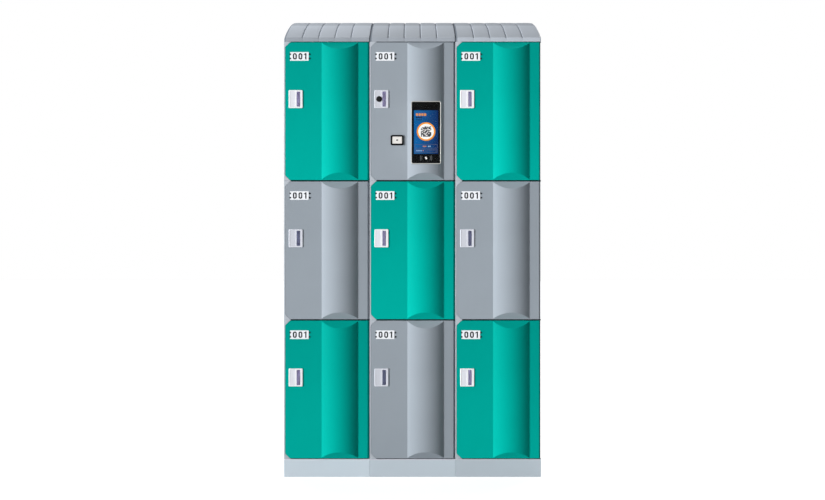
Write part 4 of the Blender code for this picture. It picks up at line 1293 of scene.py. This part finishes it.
def roof_section():
    """Side view of the roof from its lip to its back, as points with outward normals."""
    centre, radius, (first, last) = roof_curve()
    lip = turn_corner(Vector((0.0, ROOF_LIP)), math.pi, first, ROOF_EASE, 8)
    foot = [(Vector((0.0, 0.0)), Vector((-1.0, 0.0)))]
    back = turn_corner(Vector((BODY_DEPTH, ROOF_RISE)), last, 0.0, ROOF_BACK_EASE, 8)
    heel = [(Vector((BODY_DEPTH, 0.0)), Vector((1.0, 0.0)))]
    arch = []
    for step in range(1, ROOF_STEPS):
        angle = first + (last - first) * step / ROOF_STEPS
        normal = Vector((math.cos(angle), math.sin(angle)))
        point = centre + normal * radius
        if lip[-1][0].x < point.x < back[0][0].x:
            arch.append((point, normal))
    return foot + lip + arch + back + heel


def roof_sink(x):
    """How far the roof's surface is sunk at x: by its rounded edges and crowned panels, and by a groove."""
    sink = 0.0
    for distance, ease in ((x, ROOF_LEFT_EASE), (SHELL_WIDTH - x, ROOF_RIGHT_EASE)):
        if distance < ease:
            sink += ease - math.sqrt(ease ** 2 - (ease - distance) ** 2)
    middles = [SHELL_WIDTH / 2 + offset for offset in GROOVE_OFFSETS]
    bounds = [0.0] + middles + [SHELL_WIDTH]
    for low, high in zip(bounds, bounds[1:]):
        if low <= x <= high:
            sink += ROOF_CROWN * abs(2 * (x - low) / (high - low) - 1) ** 2.5
    groove = 0.0
    for middle in middles:
        if abs(x - middle) < GROOVE_WIDTH / 2:
            groove = GROOVE_DEPTH * (0.5 + 0.5 * math.cos(2 * math.pi * (x - middle) / GROOVE_WIDTH))
    return sink, groove


def roof_places():
    """Places along x where the roof is sliced: close together at its edges and grooves."""
    places = [SHELL_WIDTH * step / 48 for step in range(49)]
    for step in range(1, 7):
        bend = 1 - math.cos(math.pi * step / 12)
        places += [ROOF_LEFT_EASE * bend, SHELL_WIDTH - ROOF_RIGHT_EASE * bend]
    for offset in GROOVE_OFFSETS:
        places += [SHELL_WIDTH / 2 + offset + GROOVE_WIDTH * step / 16 for step in range(-8, 9)]
    places.sort()
    kept = places[:1]
    for place in places[1:]:
        if place - kept[-1] > 0.0002:
            kept.append(place)
    return kept


def make_roof_hollow():
    """The space under the roof cap."""
    centre, radius, (first, last) = roof_curve()
    inside = arc(centre, radius - ROOF_SKIN - ROOF_LEFT_EASE / 2, first + 0.02, last - 0.02, 24)
    inside = [place for place in inside if ROOF_WALL < place[0] < BODY_DEPTH - ROOF_WALL]
    outline = [(ROOF_WALL, -OVERCUT), (ROOF_WALL, inside[0][1])] + inside
    outline += [(BODY_DEPTH - ROOF_WALL, inside[-1][1]), (BODY_DEPTH - ROOF_WALL, -OVERCUT)]
    return slab(outline, "X", ROOF_LEFT_EASE + ROOF_WALL, SHELL_WIDTH - ROOF_WALL * 2)


def make_roof():
    """Hollow cap with an upright lip, an arched top of crowned panels, and grooves with round lower ends."""
    section = roof_section()
    bm = bmesh.new()
    slices = []
    for x in roof_places():
        sink, groove = roof_sink(x)
        row = []
        for point, normal in section:
            reach = min(max((point.x - GROOVE_START) / GROOVE_FADE, 0.0), 1.0)
            place = point - normal * (sink + groove * math.sqrt(1 - (1 - reach) ** 2))
            row.append(bm.verts.new((x, place.x, place.y)))
        slices.append(row)
    for here, there in zip(slices, slices[1:]):
        for index in range(len(here)):
            after = (index + 1) % len(here)
            bm.faces.new((here[index], there[index], there[after], here[after]))
    bm.faces.new(slices[0])
    bm.faces.new(slices[-1])
    bmesh.ops.recalc_face_normals(bm, faces=bm.faces)
    return combine(mesh_object(bm), "DIFFERENCE", make_roof_hollow())


def roof_part(face):
    """Which of the roof's plastics a face has: 1 on its left edge, painted dark as shade, 2 on its lip, 0
    elsewhere.
    """
    if face.center.x < ROOF_LEFT_EASE + OVERCUT:
        return 1
    return 2 if face.center.y < ROOF_EASE / 3 else 0


def make_plinth():
    """Plinth tray with a closed floor and a rounded upper front edge."""
    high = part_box("plinth_1")[1].z
    plinth = box((0, PLINTH_SETBACK, 0), (SHELL_WIDTH, BODY_DEPTH, high))
    round_edges(plinth, PLINTH_EASE, 4, lambda edge: all(vert.co.z > high - WELD_DISTANCE
                                                         and vert.co.y < OVERCUT + PLINTH_SETBACK
                                                         for vert in edge.verts))
    round_edges(plinth, 0.0012, 2, None, 60)
    hollow = box((PLINTH_WALL, PLINTH_SETBACK + 2 * PLINTH_WALL, PLINTH_WALL),
                 (SHELL_WIDTH - PLINTH_WALL, BODY_DEPTH - PLINTH_WALL, high + OVERCUT))
    return combine(plinth, "DIFFERENCE", hollow)


def is_highlit_plinth_rim(face):
    """The rounded upper front edge of a plinth, painted lighter as a highlight."""
    return face.normal.y < -0.1 and face.normal.z > 0.1


# ---------------------------------------------------------------- placing

# What only the control module has: piece, body, slot, and the CAD node it stands for
CONTROL_PIECES = [
    ("key_collar", "door", "black_plastic", "key_barrel"),
    ("key_cylinder", "key", "bolt_steel", "key_plug"),
    ("reader_frame", "door", "black_plastic", "reader_bezel"),
    ("reader_face", "door", "reader_window", "reader_module"),
    ("terminal_frame", "door", "trim_silver", "terminal_housing"),
    ("terminal_cover", "door", "screen_glass", "terminal_glass"),
    ("terminal_display", "door", "screen_panel", "display_panel"),
    ("terminal_tap_mark", "door", "screen_panel"),
    ("controller", "bank", "unit_grey", "controller_box"),
    ("supply", "bank", "unit_metal", "power_supply"),
    ("inlet", "bank", "black_plastic", "power_inlet"),
]


def paint(shape, materials, choose=None):
    """A copy of a shape with one material, or with several that are chosen face by face."""
    painted = copy_shape(shape)
    for material in materials:
        painted.data.materials.append(material)
    if choose is not None:
        for face in painted.data.polygons:
            face.material_index = int(choose(face))
    return painted


def finish_shape(name, shape):
    """A shape's mesh with smooth shading, its flat faces kept flat."""
    shape.data.shade_smooth()
    shape.data.set_sharp_from_angle(angle=SHARP_ANGLE)
    shape.modifiers.new("even", "WEIGHTED_NORMAL").keep_sharp = True
    mesh = bake_modifiers(shape).data
    mesh.name = name + "_shape"
    return mesh


def place(name, mesh, corner, body, slot, *nodes):
    """One copy of a shape in the bank, riding on a body and standing for CAD nodes."""
    piece = add_object(name, mesh)
    piece.location = corner
    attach(piece, body)
    if nodes:
        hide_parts(*nodes)
    return piece


def module_corner(label):
    """Front lower left corner of a module, on the flat face of its door."""
    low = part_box("shell_" + label)[0]
    return Vector((low.x, low.y - SHELL_FRONT, low.z))


def place_control_pieces(corner, label, shapes):
    """Everything that only the control module has."""
    for name, body, slot, *nodes in CONTROL_PIECES:
        body = "door_" + label if body == "door" else body
        piece = place(name, shapes[name], corner, body, slot, *nodes)
        piece.visible_shadow = not name.startswith("terminal")


def place_modules(shapes):
    """All nine modules, coloured like a draughtboard."""
    for row in range(1, ROWS + 1):
        for column in range(1, COLUMNS + 1):
            label = f"{row}_{column}"
            corner = module_corner(label)
            control = (row, column) == CONTROL
            colour = "green" if (row + column) % 2 == 0 else "grey"
            kind = "control" if control else colour
            door = "door_" + label
            place("cabinet_" + label, shapes["control_shell" if control else "shell"], corner, "bank",
                  "shell_grey", "shell_" + label)
            place("leaf_" + label, shapes["door_" + kind], corner, door, "door_" + colour, door)
            place("grip_" + label, shapes["handle_" + kind], corner, door, "handle_white", "handle_" + label)
            place("number_" + label, shapes["label"], corner, door, "handle_white")
            if control:
                place_control_pieces(corner, label, shapes)
            else:
                place("lock_" + label, shapes["lock"], corner, "bank", "lock_black", "lock_unit_" + label)
                place("bolt_" + label, shapes["bolt"], corner, "bolt_" + label, "bolt_steel",
                      "latch_bolt_" + label)


def place_columns(shapes):
    """A plinth under each column and a roof cap over it."""
    for column in range(1, COLUMNS + 1):
        base = f"plinth_{column}"
        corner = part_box(base)[0] - Vector((0, PLINTH_SETBACK, 0))
        place(f"base_{column}", shapes[base], corner, "bank", "plinth_grey", base)
        cap = f"roof_{column}"
        place(f"cap_{column}", shapes[cap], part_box(cap)[0], "bank", "roof_grey", cap)


def make_shapes():
    """The meshes of every shape in the bank, made once."""
    shell = make_shell()
    door = make_door()
    handle = make_handle()
    keeper = make_keeper_handle(handle)
    roof = make_roof()
    plinth = make_plinth()
    shapes = {
        "door_green": paint(door, [GREEN]),
        "door_grey": paint(door, [GREY]),
        "door_control": paint(make_control_door(door), [GREY]),
        "shell": paint(shell, [SHELL, SEAM_SHADE], is_shaded_seam),
        "control_shell": paint(make_control_shell(shell), [SHELL, SEAM_SHADE], is_shaded_seam),
        "handle_green": paint(keeper, [WHITE, PANEL_SHADE, SLOT_SHADE], handle_part),
        "handle_grey": paint(keeper, [WHITE_SHADED, PANEL_DEEP_SHADE, SLOT_DEEP_SHADE], handle_part),
        "handle_control": paint(make_control_handle(handle), [WHITE_SHADED, PANEL_DEEP_SHADE, SLOT_SHADE], handle_part),
        "label": make_label(),
        "lock": make_lock_unit(),
        "bolt": paint(make_bolt(), [STEEL]),
        "key_collar": paint(make_key_barrel(), [BLACK]),
        "key_cylinder": make_key_plug(),
        "reader_frame": paint(make_reader_bezel(), [BLACK]),
        "reader_face": make_reader(),
        "terminal_frame": paint(make_terminal_housing(), [SILVER]),
        "terminal_cover": make_terminal_glass(),
        "terminal_display": make_display(),
        "terminal_tap_mark": make_tap_mark(),
        "controller": make_controller(),
        "supply": make_supply(),
        "inlet": make_inlet(),
    }
    for index in range(COLUMNS):
        shapes[f"roof_{index + 1}"] = paint(roof, ROOFS[index], roof_part)
        shapes[f"plinth_{index + 1}"] = paint(plinth, PLINTHS[index], is_highlit_plinth_rim)
    return {name: finish_shape(name, shape) for name, shape in shapes.items()}


# ---------------------------------------------------------------- stage, lights and camera

CAMERA_DISTANCE = 4.85
CAMERA_HEIGHT = 1.0115
FIELD_WIDTH = 3.676
SENSOR_WIDTH = 36.0
FLOOR_SIZE = 60.0
WORLD_LIGHT = 0.24
# Name, strength, azimuth, elevation and softness of each sun
SUNS = [("key", 4.65, 61.0, 3.8, 11.0), ("sky", 1.4, 180.0, 68.0, 30.0), ("back", 2.6, -150.0, 12.0, 20.0)]


def make_camera(face_y):
    """Level camera square to the doors, at half their height."""
    data = bpy.data.cameras.new("camera")
    data.sensor_width = SENSOR_WIDTH
    data.lens = SENSOR_WIDTH * CAMERA_DISTANCE / FIELD_WIDTH
    camera = add_object("camera", data)
    camera.location = (0.0, face_y - CAMERA_DISTANCE, CAMERA_HEIGHT)
    camera.rotation_euler = (math.pi / 2, 0.0, 0.0)
    bpy.context.scene.camera = camera


def make_sun(name, strength, azimuth, elevation, softness):
    """Distant soft light from azimuth degrees left of straight ahead, and elevation degrees up."""
    data = bpy.data.lights.new(name, "SUN")
    data.energy = strength
    data.angle = math.radians(softness)
    turn = math.radians(azimuth)
    rise = math.radians(elevation)
    towards = Vector((-math.sin(turn) * math.cos(rise), -math.cos(turn) * math.cos(rise), math.sin(rise)))
    add_object(name, data).rotation_euler = towards.to_track_quat("Z", "Y").to_euler()


def make_world():
    """Even soft light, with a white background."""
    world = bpy.data.worlds.new("studio")
    world.use_nodes = True
    path = add_node(world, "LightPath")
    strength = add_range(world, path.outputs["Is Camera Ray"], 0.0, 1.0, WORLD_LIGHT, 1.0)
    background = world.node_tree.nodes["Background"]
    background.inputs["Color"].default_value = (1.0, 1.0, 1.0, 1.0)
    world.node_tree.links.new(background.inputs["Strength"], strength)
    bpy.context.scene.world = world


def make_floor():
    """Plain pale floor that keeps only the softest shadows."""
    bm = bmesh.new()
    bmesh.ops.create_grid(bm, x_segments=1, y_segments=1, size=FLOOR_SIZE / 2)
    floor = mesh_object(bm, "floor")
    material = new_material("floor", roughness=0.9, specular_ior_level=0.0, emission_strength=1.0,
                            base_color=(0.40, 0.40, 0.40, 1.0))
    path = add_node(material, "LightPath")
    feed(material, "Emission Color", add_tone(material, (0.86, 0.86, 0.86), path.outputs["Is Camera Ray"]))
    floor.data.materials.append(material)


def main():
    """Make the shapes, clear away what they were cut from, and place them and the stage."""
    shapes = make_shapes()
    discard(*[shape for shape in bpy.data.objects if shape.name not in cad_names])
    place_modules(shapes)
    place_columns(shapes)
    make_camera(module_corner("1_1").y)
    make_world()
    for sun in SUNS:
        make_sun(*sun)
    make_floor()
    bpy.context.scene.view_settings.view_transform = "Standard"


main()
